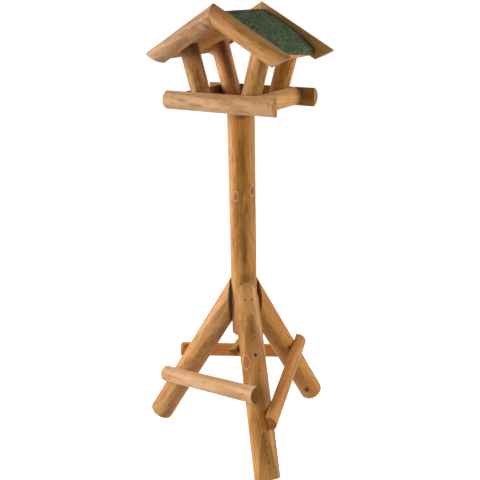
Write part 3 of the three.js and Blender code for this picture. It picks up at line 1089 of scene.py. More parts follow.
@dataclass(frozen=True)
class PoleWork:
    """One pole to be made: its shape, its finish and its nails.

    Args:
        node: The plain solid that it stands for.
        cut: How it was sawn along its length.
        slot: The material slot that its finish belongs to.
        finish: Its finish.
        turning: How it is made.
        nails: The large nails whose holes are sunk into it.
        pins: The places of the small nails that hold it.
    """

    node: str
    cut: Cut
    slot: str
    finish: PoleFinish
    turning: Turning = field(default_factory=Turning)
    nails: tuple[str, ...] = ()
    pins: tuple[Seen | Hidden, ...] = ()

    END_STEPS = 4
    LEAST_RINGS = 4
    CAP_SHARES = (0.8, 0.55, 0.3)
    NAIL_HOLE_RADIUS = 2.7 * MM
    PIN_HOLE_RADIUS = 1.7 * MM
    HOLE_SIDES = 14
    HOLE_DEPTH = 10 * MM
    CALM_REACH = 7 * MM
    CALM_SHARE = 0.9
    SAWN_FROM = 0.6
    ON_PLANE = 0.02 * MM
    HIGHLIGHT_REACH = 3.5 * MM

    # Waves of the skin to the metre, twice across the grain and once along it, and their shares of the depth
    SEED_STEP = 7.3
    LONG_WAVE = (12, 12, 7)
    SHORT_WAVE = (45, 45, 22)
    MEAN_SHARE, LONG_SHARE, SHORT_SHARE = 0.5, 0.42, 0.22

    # Waves of the torn fibres to the metre, outwards and sideways, and their level in the noise
    COARSE_TEAR = (260, 90, 3.1)
    FINE_TEAR = (700, 240, 7)
    FINE_TEAR_SHARE = 0.6
    TEAR_BIAS = 0.25

    def rows(self, length: float) -> list[tuple[float, float, float, float]]:
        """Lists the rings of the skin from the low end to the high one.

        Args:
            length: The pole's length.

        Returns:
            For each ring: its share of the way between the eased zones, its depth from the nearer end
            (negative at the high one), how far it is drawn in, and how much of the section it spans.
        """
        ease = self.turning.ease
        low = [(0.0, 0.0, ease, share) for share in reversed(self.CAP_SHARES)]
        for step in range(self.END_STEPS + 1):
            angle = math.pi / 2 * (1 - step / self.END_STEPS)
            low.append((0.0, ease * (1 - math.sin(angle)), ease * (1 - math.cos(angle)), 1.0))
        count = max(self.LEAST_RINGS, round((length - 2 * ease) / self.turning.ring_gap))
        middle = [(step / count, 0.0, 0.0, 1.0) for step in range(1, count)]
        high = [(1.0, -depth, inset, share) for _, depth, inset, share in reversed(low)]
        return low + middle + high

    def calm_places(self, pole: Pole) -> list[Calm]:
        """Lists the knots and the nails, where the skin isn't drawn in.

        Args:
            pole: The pole.

        Returns:
            The calm places.
        """
        places = []
        for mark in self.finish.marks:
            if isinstance(mark, Knot):
                places.append(Calm(*mark.at.on(pole), mark.length * MM, mark.width * MM))
        for pin in self.pins:
            places.append(Calm(*pin.on(pole), self.CALM_REACH, self.CALM_REACH))
        for nail in self.nails:
            own = pole.angle_frame().transposed() @ (nail_head(nail)[0] - pole.centre)
            places.append(Calm(own.z, math.atan2(own.y, own.x), self.CALM_REACH, self.CALM_REACH))
        return places

    def hollow(self, calm: list[Calm], place: Vector) -> float:
        """Works out how far the skin is drawn in at a place.

        Args:
            calm: Where the skin keeps its full thickness.
            place: The place in the pole's own frame.

        Returns:
            The depth of the hollow.
        """
        shift = Vector((self.finish.seed * self.SEED_STEP, 0, 0))
        long_wave = noise.noise(Vector([part * wave for part, wave in zip(place, self.LONG_WAVE)]) + shift)
        short_wave = noise.noise(Vector([part * wave for part, wave in zip(place, self.SHORT_WAVE)]) - shift)
        share = self.MEAN_SHARE + self.LONG_SHARE * long_wave + self.SHORT_SHARE * short_wave
        depth = self.turning.unevenness * share
        for spot in calm:
            across = (math.cos(spot.around) * place.y - math.sin(spot.around) * place.x) / spot.width
            facing = math.cos(spot.around) * place.x + math.sin(spot.around) * place.y
            if facing > 0:
                spread = across**2 + ((place.z - spot.along) / spot.length) ** 2
                depth *= 1 - self.CALM_SHARE * math.exp(-spread / 2)
        return max(depth, 0.0)

    def tear(self, u: float, v: float) -> float:
        """Works out how much of the fibres is torn out at a point of the high end.

        Args:
            u: The point's distance outwards.
            v: The point's distance sideways.

        Returns:
            The share of the full depth.
        """
        coarse, fine = (noise.noise(Vector((u * across, v * side, level)))
                        for across, side, level in (self.COARSE_TEAR, self.FINE_TEAR))
        return max(coarse + self.FINE_TEAR_SHARE * fine + self.TEAR_BIAS, 0)

    def skin(self, pole: Pole, calm: list[Calm]) -> bmesh.types.BMesh:
        """Wraps a grid round the pole's section and closes its ends.

        Args:
            pole: The pole.
            calm: Where the skin keeps its full thickness.

        Returns:
            The closed skin.
        """
        turning = self.turning
        outline = section(pole, turning.point_gap, turning.arris)
        middle = outline.mean(0)
        rows = self.rows(pole.end_at(1, 0, 0) - pole.end_at(0, 0, 0))
        built = bmesh.new()
        bmesh.ops.create_grid(built, x_segments=len(outline), y_segments=len(rows) - 1, size=1)
        inward = built.verts.layers.float.new("inward")
        for vert in built.verts:
            column = round((vert.co.x + 1) / 2 * len(outline)) % len(outline)
            share, depth, inset, span = rows[round((vert.co.y + 1) / 2 * (len(rows) - 1))]
            arm = outline[column] - middle
            reach = np.linalg.norm(arm)
            u, v = middle + arm * (1 - inset / reach) * span
            low, high = pole.end_at(0, u, v), pole.end_at(1, u, v)
            start, stop = low + turning.ease, high - turning.ease
            if depth or span < 1 or share in (0.0, 1.0):
                along = low + depth if share < 0.5 else high + depth
            else:
                along = start + (stop - start) * share
            hollow = self.hollow(calm, Vector((*outline[column], along)))
            u, v = middle + arm * (1 - (inset + hollow) / reach) * span
            if turning.torn and share == 1.0:
                along -= turning.torn * self.tear(u, v)
            vert.co = pole.at(u, v, along)
            vert[inward] = inset / turning.ease
        bmesh.ops.remove_doubles(built, verts=built.verts, dist=MERGE_DISTANCE)
        rims = [edge for edge in built.edges if edge.is_boundary]
        bmesh.ops.holes_fill(built, edges=rims, sides=0)
        for trim in pole.trims:
            everything = built.verts[:] + built.edges[:] + built.faces[:]
            done = bmesh.ops.bisect_plane(built, geom=everything, plane_co=Vector(trim.normal * trim.offset),
                                          plane_no=Vector(trim.normal), clear_outer=True)
            cut_edges = [part for part in done["geom_cut"] if isinstance(part, bmesh.types.BMEdge)]
            bmesh.ops.holes_fill(built, edges=cut_edges, sides=0)
        bmesh.ops.recalc_face_normals(built, faces=built.faces)
        self.paint(built, pole, inward)
        return built

    def paint(self, built: bmesh.types.BMesh, pole: Pole, inward: bmesh.types.BMLayerItem) -> None:
        """Marks the sawn faces, and the painted highlight on the rims round them, on the skin's corners.

        Args:
            built: The skin.
            pole: The pole.
            inward: How far each point of the ends is drawn in, 1 on the sawn face; the layer is removed.
        """
        sawn, edge_highlight = (built.loops.layers.float.new(name) for name in (SAWN, EDGE_HIGHLIGHT))
        gaps = [{vert: abs(vert.co.dot(Vector(trim.normal)) - trim.offset) for vert in built.verts}
                for trim in pole.trims]
        for face in built.faces:
            face.smooth = True
            on_trim = any(all(gap[vert] < self.ON_PLANE for vert in face.verts) for gap in gaps)
            for corner in face.loops:
                drawn = corner.vert[inward]
                near = max((1 - gap[corner.vert] / self.HIGHLIGHT_REACH for gap in gaps), default=0.0)
                corner[sawn] = float(on_trim or drawn > self.SAWN_FROM)
                # The painted highlight: near the rims of the cut faces and on the eased part of the ends.
                corner[edge_highlight] = max(near, float(0 < drawn <= self.SAWN_FROM), 0.0)
        built.verts.layers.float.remove(inward)

    def pin_heads(self, pole: Pole, calm: list[Calm]) -> list[tuple[Vector, Vector]]:
        """Finds the small nails' places on the skin.

        Args:
            pole: The pole.
            calm: Where the skin keeps its full thickness.

        Returns:
            The place of each small nail and the way that it faces.
        """
        heads = []
        for pin in self.pins:
            along, around = pin.on(pole)
            outward = pole.outward * math.cos(around) + pole.side * math.sin(around)
            rim = (pole.radius * math.cos(around), pole.radius * math.sin(around))
            hollow = self.hollow(calm, Vector((*rim, along)))
            heads.append((pole.at(*rim, along) - outward * hollow, outward))
        return heads

    def sink_nails(self, piece: bpy.types.Object, pins: list[tuple[Vector, Vector]]) -> None:
        """Bores the holes that the nail heads sit in.

        Args:
            piece: The pole's object.
            pins: The places and the directions of the small nails.
        """
        holes = bmesh.new()
        bores = [(*nail_head(nail), self.NAIL_HOLE_RADIUS) for nail in self.nails]
        bores += [(head, outward, self.PIN_HOLE_RADIUS) for head, outward in pins]
        for head, outward, radius in bores:
            add_rod(holes, self.HOLE_SIDES, radius, 2 * self.HOLE_DEPTH, head, outward)
        cutter = new_object(f"{self.node}_holes", holes)
        modifier = piece.modifiers.new("holes", "BOOLEAN")
        modifier.operation = "DIFFERENCE"
        modifier.solver = "EXACT"
        modifier.object = cutter
        settle(piece)
        bpy.data.objects.remove(cutter)

    def make(self, pin_steel: bpy.types.Material) -> None:
        """Makes the pole in the place of its plain solid, with the small nails that hold it.

        Args:
            pin_steel: The small nails' material.
        """
        pole = Pole.measure(self.node, self.cut)
        calm = self.calm_places(pole)
        pins = self.pin_heads(pole, calm)
        piece = new_object(f"{self.node}_timber", self.skin(pole, calm))
        if self.nails or pins:
            self.sink_nails(piece, pins)
        hand_over(piece, self.finish.dress(pole), self.slot, self.node)
        if pins:
            Pin().drive(f"{self.node}_pins", pins, pin_steel)
        log.info("%s: %s, radius %.1f mm, %d faces", self.node, self.cut.name.lower(), pole.radius / MM,
                 len(piece.data.polygons))


@dataclass(frozen=True)
class Pin:
    """A small round-headed nail.

    Args:
        head_radius: The radius of its head.
        head_height: The thickness of its head.
        shank_radius: The radius of its shank.
        shank_length: The length of its shank that is modelled.
        sunk: How far its head lies below the skin.
        crown: How far the rim of its head is rounded.
    """

    head_radius: float = 1.5 * MM
    head_height: float = 0.9 * MM
    shank_radius: float = 0.8 * MM
    shank_length: float = 8 * MM
    sunk: float = 0.35 * MM
    crown: float = 0.35 * MM

    HEAD_SIDES = 14
    SHANK_SIDES = 8
    OVERLAP_SHARE = 0.1

    def drive(self, name: str, heads: list[tuple[Vector, Vector]], steel: bpy.types.Material) -> None:
        """Drives the nails of one rail in.

        Args:
            name: The name of the piece that they make together.
            heads: The places and the directions of the nails.
            steel: Their material.
        """
        built = bmesh.new()
        shank_depth = self.sunk + self.head_height * (1 - self.OVERLAP_SHARE)
        for head, outward in heads:
            middle = head - outward * (self.sunk + self.head_height / 2)
            corners = add_rod(built, self.HEAD_SIDES, self.head_radius, self.head_height, middle, outward)
            rim = [edge for edge in {edge for vert in corners for edge in vert.link_edges}
                   if all((vert.co - middle).dot(outward) > 0 for vert in edge.verts)]
            round_edges(built, rim, self.crown)
            middle = head - outward * (shank_depth + self.shank_length / 2)
            add_rod(built, self.SHANK_SIDES, self.shank_radius, self.shank_length, middle, outward)
        for face in built.faces:
            face.smooth = True
        hand_over(new_object(name, built), steel, "nails")


def nail_head(nail: str) -> tuple[Vector, Vector]:
    """Finds the middle of a nail's head and the way that it faces.

    Args:
        nail: The nail's name.

    Returns:
        The middle of the head's face and the unit direction out of the wood.
    """
    least_square = 0.99
    points = np.array([vertex.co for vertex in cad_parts[nail].data.vertices])
    spread = np.linalg.eigh(np.cov((points - points.mean(0)).T))[1][:, 2]
    ends = [face for face in flat_faces(nail) if abs(face.normal @ spread) > least_square]
    head = max(ends, key=lambda face: face.area)
    rim = points[np.abs(points @ head.normal - head.offset) < MERGE_DISTANCE]
    return Vector(rim.mean(0)), Vector(head.normal)


def add_rod(built: bmesh.types.BMesh, sides: int, radius: float, height: float, middle: Vector,
            outward: Vector) -> list[bmesh.types.BMVert]:
    """Adds a round rod.

    Args:
        built: The mesh that it is added to.
        sides: The number of its sides.
        radius: Its radius.
        height: Its height.
        middle: Its middle.
        outward: The direction of its axis.

    Returns:
        Its corners.
    """
    place = Matrix.Translation(middle) @ outward.to_track_quat("Z", "Y").to_matrix().to_4x4()
    return bmesh.ops.create_cone(built, cap_ends=True, segments=sides, radius1=radius, radius2=radius,
                                 depth=height, matrix=place)["verts"]


def round_edges(built: bmesh.types.BMesh, edges: list[bmesh.types.BMEdge], reach: float) -> None:
    """Rounds edges over.

    Args:
        built: The mesh.
        edges: The edges.
        reach: How far the rounding reaches back on each side.
    """
    bmesh.ops.bevel(built, geom=edges, offset=reach, offset_type="OFFSET", segments=3, profile=0.5,
                    affect="EDGES", material=-1)


def put_in_scene(name: str, data: bpy.types.ID) -> bpy.types.Object:
    """Puts a mesh, a light or a camera in the scene.

    Args:
        name: The object's name.
        data: The mesh, light or camera.

    Returns:
        The object.
    """
    made = bpy.data.objects.new(name, data)
    bpy.context.scene.collection.objects.link(made)
    return made


def new_object(name: str, built: bmesh.types.BMesh) -> bpy.types.Object:
    """Turns a finished bmesh into an object of the scene.

    Args:
        name: The object's name.
        built: The bmesh, which is freed.

    Returns:
        The object.
    """
    mesh = bpy.data.meshes.new(name)
    built.to_mesh(mesh)
    built.free()
    return put_in_scene(name, mesh)


def settle(piece: bpy.types.Object) -> None:
    """Applies a piece's modifiers to its mesh.

    Args:
        piece: The piece.
    """
    graph = bpy.context.evaluated_depsgraph_get()
    graph.update()
    mesh = bpy.data.meshes.new_from_object(piece.evaluated_get(graph), depsgraph=graph)
    piece.modifiers.clear()
    piece.data = mesh


def hand_over(piece: bpy.types.Object, material: bpy.types.Material, slot: str, *nodes: str) -> None:
    """Gives a finished piece its sharp edges, its material and its body, and hides its plain solids.

    Args:
        piece: The piece.
        material: Its material.
        slot: Not used.
        nodes: The plain solids that it stands for.
    """
    piece.data.set_sharp_from_angle(angle=SHARP_ANGLE)
    piece.data.materials.clear()
    piece.data.materials.append(material)
    if nodes:
        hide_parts(*nodes)
    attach(piece, BODY)


@dataclass(frozen=True)
class Stand:
    """The post, its three legs, the halved rails between them and the ledge under the post.

    Args:
        nails_each: The numbers of the nails in each leg and in each base rail.
    """

    nails_each: tuple[int, int] = (1, 2)

    def post(self) -> PoleFinish:
        """Gives the post's finish."""
        timber = Timber(tone(198, 141, 74), tone(173, 112, 42), tone(122, 75, 12), pith=9, pith_turn=20,
                        ring=7, taper=0.02, band=0.55)
        return PoleFinish(timber, (
            Knot(Seen(235.2, 196.4), 12.0, 7.5), Knot(Seen(252.7, 190.6), 13.5, 8.0, 1.0, tone(150, 84, 56)),
            Arch(Seen(247.1, 180.5), 14, 14, 0.4), Arch(Seen(240.4, 212.4), 12, 13, 0.4),
            StainAndShade(Seen(243, 155), 150, 12, 0.4), StainAndShade(Seen(246.8, 208), 30, 9, 0.6),
            # Painted shade: the patch at (247, 278) darkens the post just over the front leg's top.
            StainAndShade(Seen(244.5, 250), 100, 15, 0.8), StainAndShade(Seen(247, 278), 30, 26, 0.6),
            # Painted highlight: the long pale band at (229.3, 200) runs down the post's left side, where the
            # light falls.
            StainAndShade(Seen(242, 117), 9, 26, 0.8), PaleAndHighlight(Seen(229.3, 200), 520, 26, 0.9, tone(200, 150, 102)),
            *far_knots(11, 0.3, 5)), 11)

    def front_leg(self) -> PoleFinish:
        """Gives the front leg's finish."""
        timber = Timber(tone(203, 149, 87), tone(176, 117, 48), tone(123, 78, 20), pith=10, pith_turn=-5,
                        ring=7, taper=0.02, mottle=0.4)
        return PoleFinish(timber, (
            Knot(Seen(245.6, 362.3), 17, 11, 0.8, tone(178, 104, 68)),
            Knot(Seen(255.5, 355), 6, 5.5, 1, DARK_HEART), Arch(Seen(250.5, 312), 52, 21),
            # Painted light: the pale patch at (247, 300) on the leg's upper end, which leans up towards the
            # light.
            Arch(Seen(264.1, 431), 45, 17), PaleAndHighlight(Seen(247, 300), 90, 34, 0.8),
            StainAndShade(Seen(264, 397), 60, 30, 0.7, tone(121, 79, 24)), StainAndShade(Seen(251.5, 328), 36, 11, 0.45),
            *far_knots(12, 0.2, 3)), 12)

    def left_leg(self) -> PoleFinish:
        """Gives the left leg's finish."""
        timber = Timber(tone(204, 153, 96), tone(182, 127, 66), tone(136, 91, 43), pith=8, pith_turn=60,
                        mottle=0.4, band=0.35)
        return PoleFinish(timber, (
            Knot(Seen(184.4, 363), 3.2, 2.6, 1, DARK_HEART), Knot(Seen(164.6, 393), 3.2, 2.4, 1, DARK_HEART),
            Ripple(Seen(203, 350), 75, 24, 0.9), *far_knots(13, 0.2, 3)), 13)

    def right_leg(self) -> PoleFinish:
        """Gives the right leg's finish."""
        timber = Timber(tone(206, 145, 74), tone(185, 120, 51), tone(127, 81, 32), pith=16, pith_turn=-40,
                        ring=3, streak=0.65, band=0.2)
        return PoleFinish(timber, (
            Knot(Seen(307, 389.8), 8, 8, 1, tone(158, 88, 58)),
            # Painted shade: the dark patches at (289.5, 347.5) and (281, 349.5), next to where the right base
            # rail meets the leg.
            StainAndShade(Seen(307, 390), 20, 16, 0.9, DARK_HEART), StainAndShade(Seen(289.5, 347.5), 22, 7, 0.9),
            StainAndShade(Seen(281, 349.5), 14, 6, 0.6), *far_knots(14, 0.2, 3)), 14)

    def rails(self) -> dict[str, PoleFinish]:
        """Gives the finish of each base rail.

        Returns:
            The finishes by the rails' names.
        """
        left = Timber(tone(209, 168, 127), tone(194, 145, 97), tone(163, 115, 71), mottle=0.3, band=0.3,
                      sawn=tone(110, 74, 26))
        right = Timber(tone(205, 141, 77), tone(192, 123, 58), tone(146, 88, 37), mottle=0.3, band=0.4,
                       sawn=tone(156, 98, 42))
        # Painted light: the back rail's colours are paler than the other rails', to make up for the shade
        # that the legs cast on it.
        back = Timber(tone(234, 156, 72), tone(220, 139, 57), tone(166, 100, 39), mottle=0.3)
        return {
            "left": PoleFinish(left, (
                StainAndShade(Seen(204, 382), 14, 6, 0.5), PaleAndHighlight(Seen(178, 372), 26, 7, 0.6),
                PaleAndHighlight(Seen(240, 391), 24, 9, 0.6)), 15),
            "right": PoleFinish(right, (
                Knot(Seen(300.2, 340.3), 4, 3.5, 0.7), PaleAndHighlight(Seen(276, 414), 26, 12, 0.4)), 16),
            "back": PoleFinish(back, (), 17),
        }

    def works(self) -> list[PoleWork]:
        """Lists the poles of the stand.

        Returns:
            The poles, the post first.
        """
        ledge = PoleFinish(Timber(tone(209, 154, 96), tone(186, 131, 70), tone(137, 94, 46),
                                  sawn=tone(112, 76, 34)), (), 18)
        halves = Turning(ring_gap=3.5 * MM, point_gap=2.4 * MM, ease=1.6 * MM)
        small = Turning(ring_gap=3 * MM, point_gap=1.6 * MM, ease=0.6 * MM, arris=0.6 * MM,
                        unevenness=0.4 * MM)
        legs = {"front": self.front_leg(), "left": self.left_leg(), "right": self.right_leg()}
        works = [PoleWork("post", Cut.ROUND, "poles", self.post(), Turning(ease=1.2 * MM))]
        for leg, finish in legs.items():
            nails = tuple(f"leg_nail_{leg}_{k}" for k in self.nails_each)
            works.append(PoleWork(f"leg_{leg}", Cut.ROUND, "poles", finish, nails=nails))
        for rail, finish in self.rails().items():
            nails = tuple(f"base_rail_nail_{rail}_{k}" for k in self.nails_each)
            works.append(PoleWork(f"base_rail_{rail}", Cut.HALF, "halves", finish, halves, nails))
        works.append(PoleWork("post_ledge", Cut.QUARTER, "halves", ledge, small,
                              ("ledge_nail_front", "ledge_nail_right")))
        return works


@dataclass(frozen=True)
class Tray:
    """The four halved rails round the tray.

    Args:
        side_pins: Where the small nails lie along a rail that the picture hides, in metres from its middle.
        pin_turn: How far below the middle of its round side they lie, in radians.
    """

    side_pins: tuple[float, ...] = (-0.07, 0.0, 0.07)
    pin_turn: float = 0.5

    def works(self) -> list[PoleWork]:
        """Lists the poles of the tray.

        Returns:
            The four rails, the front one first.
        """
        front = Timber(tone(201, 158, 113), tone(186, 140, 94), tone(147, 101, 60), mottle=0.45, band=0.35,
                       sawn=tone(176, 120, 56))
        right = Timber(tone(211, 159, 99), tone(193, 138, 77), tone(155, 100, 46), pith=14, pith_turn=120,
                       ring=4)
        left = Timber(tone(172, 122, 62), tone(153, 101, 43), tone(110, 70, 28))
        back = Timber(tone(160, 111, 52), tone(141, 91, 34), tone(102, 63, 21))
        marks = (Knot(Seen(268.4, 100), 4, 3.5, 0.5, tone(214, 170, 96)),
                 Crack(Seen(268.4, 105), 1.0, 9, 0.8), StainAndShade(Seen(182, 100), 22, 8, 0.6),
                 StainAndShade(Seen(195, 105.5), 30, 6, 0.7), StainAndShade(Seen(225, 104), 32, 5, 0.5),
                 StainAndShade(Seen(244, 112), 22, 4, 0.5))
        seen_pins = (Seen(179.3, 106), Seen(212.4, 109.2), Seen(236.7, 111.4))
        plain = Turning(ring_gap=3.5 * MM, point_gap=2.4 * MM)
        torn = Turning(ring_gap=2.5 * MM, point_gap=1.8 * MM, ease=1.2 * MM, torn=2.6 * MM)
        pins = tuple(Hidden(along, self.pin_turn) for along in self.side_pins)
        rails = (("front", PoleFinish(front, marks, 21), torn, seen_pins),
                 ("back", PoleFinish(back, (), 22), plain, pins),
                 ("left", PoleFinish(left, (), 23), plain, pins),
                 ("right", PoleFinish(right, (), 24), plain, pins))
        return [PoleWork(f"tray_rail_{name}", Cut.HALF, "halves", finish, turning, pins=own_pins)
                for name, finish, turning, own_pins in rails]


@dataclass(frozen=True)
class House:
    """The leaning posts and the barge boards of the house.

    Args:
        back_pins: Where the small nails lie along a back barge board, in metres from its middle.
    """

    back_pins: tuple[float, ...] = (-0.07, 0.0, 0.07)

    def posts(self) -> dict[str, PoleFinish]:
        """Gives the finish of each post.

        Returns:
            The finishes by the posts' corners.
        """
        front_left = Timber(tone(192, 142, 84), tone(160, 110, 54), tone(106, 68, 28), mottle=0.7, ring=5)
        front_right = Timber(tone(206, 152, 88), tone(162, 110, 46), tone(108, 72, 24), mottle=0.5, ring=5)
        back_left = Timber(tone(196, 138, 78), tone(158, 100, 44), tone(92, 54, 20), mottle=0.6, streak=0.8)
        back_right = Timber(tone(212, 150, 70), tone(167, 106, 34), tone(104, 64, 18), mottle=0.6, streak=0.8)
        return {
            # Painted shadow: the dark patch at the top of the post, where the barge board and the roof shade
            # it.
            "front_left": PoleFinish(front_left, (StainAndShade(Seen(194, 47), 44, 34, 0.9, tone(92, 54, 24)),), 31),
            "front_right": PoleFinish(front_right, (Knot(Seen(265.6, 74), 3, 2.5, 1, DARK_HEART),), 32),
            # Painted light: the long pale band down the post's left side is a painted highlight, and the
            # broad dark patch at its top is painted shade under the barge board.
            "back_left": PoleFinish(back_left, (
                PaleAndHighlight(Seen(217.5, 61), 230, 18, 0.8, tone(208, 148, 92)), StainAndShade(Seen(223.5, 46), 60, 26, 0.8),
                StainAndShade(Seen(229.5, 66), 90, 12, 0.8)), 33),
            "back_right": PoleFinish(back_right, (), 34),
        }

    def barges(self) -> dict[str, tuple[PoleFinish, tuple[Seen | Hidden, ...]]]:
        """Gives the finish and the small nails of each barge board.

        Returns:
            The finishes and the nails' places by the boards' corners.
        """
        front_left = Timber(tone(193, 155, 113), tone(171, 128, 84), tone(136, 94, 56), slant=0.5, ring=5)
        front_right = Timber(tone(189, 137, 80), tone(163, 111, 56), tone(135, 88, 39), mottle=0.45)
        back_left = Timber(tone(213, 163, 98), tone(187, 135, 69), tone(140, 97, 45))
        back_right = Timber(tone(183, 135, 75), tone(164, 117, 58), tone(135, 95, 45))
        hidden = tuple(Hidden(along, 0.0) for along in self.back_pins)
        return {
            "front_left": (PoleFinish(front_left, (Ripple(Seen(204, 24), 60, 26, 1.0),), 41),
                           (Seen(181.6, 35.3), Seen(192.6, 27.5))),
            "front_right": (PoleFinish(front_right, (
                StainAndShade(Seen(240, 30), 44, 8, 0.6), StainAndShade(Seen(264, 46), 30, 8, 0.5),
                # Painted light: the two narrow pale bands lie along the board's lower edge, where light from
                # below falls.
                PaleAndHighlight(Seen(226, 27), 40, 7, 0.5), PaleAndHighlight(Seen(258, 52), 60, 7, 0.5)), 42),
                            (Seen(222.5, 17.5), Seen(238.4, 31.4), Seen(261.7, 49.9))),
            "back_left": (PoleFinish(back_left, (), 43), hidden),
            "back_right": (PoleFinish(back_right, (), 44), hidden),
        }

    def works(self) -> list[PoleWork]:
        """Lists the poles of the house.

        Returns:
            The posts and then the barge boards.
        """
        fine = Turning(ring_gap=3 * MM, point_gap=2.4 * MM, ease=0.8 * MM)
        barge = Turning(ring_gap=3 * MM, point_gap=2.2 * MM, ease=1.0 * MM, arris=2.2 * MM)
        works = [PoleWork(f"house_post_{corner}", Cut.ROUND, "poles", finish, fine)
                 for corner, finish in self.posts().items()]
        for corner, (finish, pins) in self.barges().items():
            works.append(PoleWork(f"barge_board_{corner}", Cut.HALF, "halves", finish, barge, pins=pins))
        return works


@dataclass(frozen=True)
class BoardFinish:
    """Stained sawn boards with long bands of grain and fine saw marks.

    Args:
        light: The colour of pale wood.
        deep: The colour of late wood.
        band: The width of a band of grain, in millimetres.
        seed: Sets where the chance patterns fall.
    """

    light: Colour
    deep: Colour
    band: float
    seed: int

    # Scales are given across the grain, through the board and along the grain
    BEND = Pattern((0.02, 0.02, 0.006), 2.0)
    MOTTLE = Pattern((0.1, 0.1, 0.02), 3.0, 0.6, deep=(0.45, 0.7))
    FIBRE = Pattern((1.4, 1.4, 0.04), 3.0, 0.6)
    SAW = Pattern((0.02, 0.3, 0.55), 2.0, 0.6)
    BEND_REACH = 50.0
    SHINE = 0.3
    RELIEF = 0.5 * MM

    def dress(self, node: str, along: Vector, across: Vector) -> bpy.types.Material:
        """Builds the board's material.

        Args:
            node: The board's name.
            along: The direction of its grain.
            across: The direction across the grain in its face.

        Returns:
            The material.
        """
        shader = Shader(f"{node}_timber", shine=self.SHINE)
        low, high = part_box(node)
        turn = Matrix((across, along.cross(across), along)).transposed()
        place = shader.own_place((low + high) / 2, turn)
        loose = shader.adrift(place, self.seed)
        width = shader.parts(place)[0] + self.BEND.over(loose) * self.BEND_REACH
        year = (width / self.band).fraction()
        late = year.ease(0.3, 0.8) * year.ease(1.0, 0.94)
        mottle, fibre, saw = (pattern.over(loose) for pattern in (self.MOTTLE, self.FIBRE, self.SAW))
        colour = shader.mixed(late * 0.35 + mottle.ease(*self.MOTTLE.deep) * 0.35, self.light, self.deep)
        colour = shader.grained(colour, 0.84 + fibre * 0.16 + saw * 0.16)
        relief = fibre * 0.4 + saw * 0.5 + late * 0.2
        return shader.finish(colour, 0.6 + fibre * 0.15, relief, self.RELIEF)


@dataclass(frozen=True)
class Boards:
    """The tray's floor boards and the four roof boards.

    Args:
        arris: How far the long arrises are eased.
        least_edge: The shortest edge that is eased.
        least_turn: The least angle between two faces whose edge is eased.
        flat_turn: The angle below which two triangles are one flat face.
    """

    arris: float = 1.0 * MM
    least_edge: float = 40 * MM
    least_turn: float = math.radians(20)
    flat_turn: float = math.radians(0.5)

    SIDEWAYS = Vector((1, 0, 0))
    RIDGE = Vector((0, 1, 0))

    def make(self) -> None:
        """Makes each board with eased arrises and its own sawn finish."""
        tray = (tone(190, 138, 82), tone(132, 90, 46), 9)
        roof = (tone(208, 146, 84), tone(168, 106, 52), 12)
        for end, seed in {"front": 51, "back": 52}.items():
            self.board(f"tray_board_{end}", BoardFinish(*tray, seed), self.SIDEWAYS, self.RIDGE)
        for name, seed in {"left_upper": 53, "left_lower": 54, "right_upper": 55, "right_lower": 56}.items():
            self.board(f"roof_board_{name}", BoardFinish(*roof, seed), self.RIDGE, self.SIDEWAYS)

    def board(self, node: str, finish: BoardFinish, along: Vector, across: Vector) -> None:
        """Makes one board.

        Args:
            node: The plain solid's name.
            finish: The finish.
            along: The direction of the grain.
            across: The direction across the grain.
        """
        built = bmesh.new()
        built.from_mesh(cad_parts[node].data)
        bmesh.ops.remove_doubles(built, verts=built.verts, dist=MERGE_DISTANCE)
        bmesh.ops.dissolve_limit(built, angle_limit=self.flat_turn, verts=built.verts, edges=built.edges)
        arrises = [edge for edge in built.edges
                   if edge.calc_length() > self.least_edge and edge.calc_face_angle(0) > self.least_turn]
        round_edges(built, arrises, self.arris)
        piece = new_object(f"{node}_timber", built)
        hand_over(piece, finish.dress(node, along, across), "boards", node)
        log.info("%s: %d faces", node, len(piece.data.polygons))


@dataclass(frozen=True)
class FeltFinish:
    """Mineral-faced roofing felt: a bed of fine green grit, with a dark strip along its cut ends that is
    partly bare bitumen and partly painted shade against the barge boards.

    Args:
        edge: How wide the dark strip along the cut ends is, in millimetres.
    """

    edge: float = 3.0

    DARK = tone(30, 42, 30)
    MIDDLE = tone(83, 99, 69)
    PALE = tone(134, 144, 110)
    GRIT = (0.36, 0.36, 0.36)
    CLUMP = Pattern((0.16, 0.16, 0.16), 3.0, 0.7, deep=(0.48, 0.66), pale=(0.46, 0.3))
    PATCH = Pattern((0.045, 0.045, 0.045), 3.0, 0.6, pale=(0.5, 0.75))
    FRAY = 3
    FADE = 2.5
    SHINE = 0.25
    RELIEF = 0.9 * MM

    def dress(self, middle: Vector, half_depth: float) -> bpy.types.Material:
        """Builds the felt's material.

        Args:
            middle: The middle of the sheet.
            half_depth: Half of the sheet's depth from front to back.

        Returns:
            The material.
        """
        shader = Shader("mineral_felt", shine=self.SHINE)
        place = shader.own_place(middle, Matrix.Identity(3))
        grain, bead = shader.cells(place, self.GRIT)
        patch, clump = self.PATCH.over(place), self.CLUMP.over(place)
        to_end = half_depth / MM - shader.parts(place)[1].size()
        # The dark strip along the cut ends: partly bare bitumen, partly painted shade against the barge
        # boards.
        bare_and_shade = (to_end + clump * self.FRAY).ease(self.edge + self.FADE, self.edge)
        colour = shader.layered(
            self.DARK, (grain.ease(0.0, 0.75), self.MIDDLE), (grain.ease(0.8, 1.0) * 0.6, self.PALE),
            (clump.ease(*self.CLUMP.deep) * 0.6, self.DARK), (clump.ease(*self.CLUMP.pale) * 0.5, self.PALE),
            (patch.ease(*self.PATCH.pale) * 0.2, self.PALE), (bare_and_shade * 0.85, self.DARK))
        relief = (1 - bead) * 0.6 + grain * 0.4 + clump * 0.8
        return shader.finish(colour, 0.88 + grain * 0.12, relief, self.RELIEF)


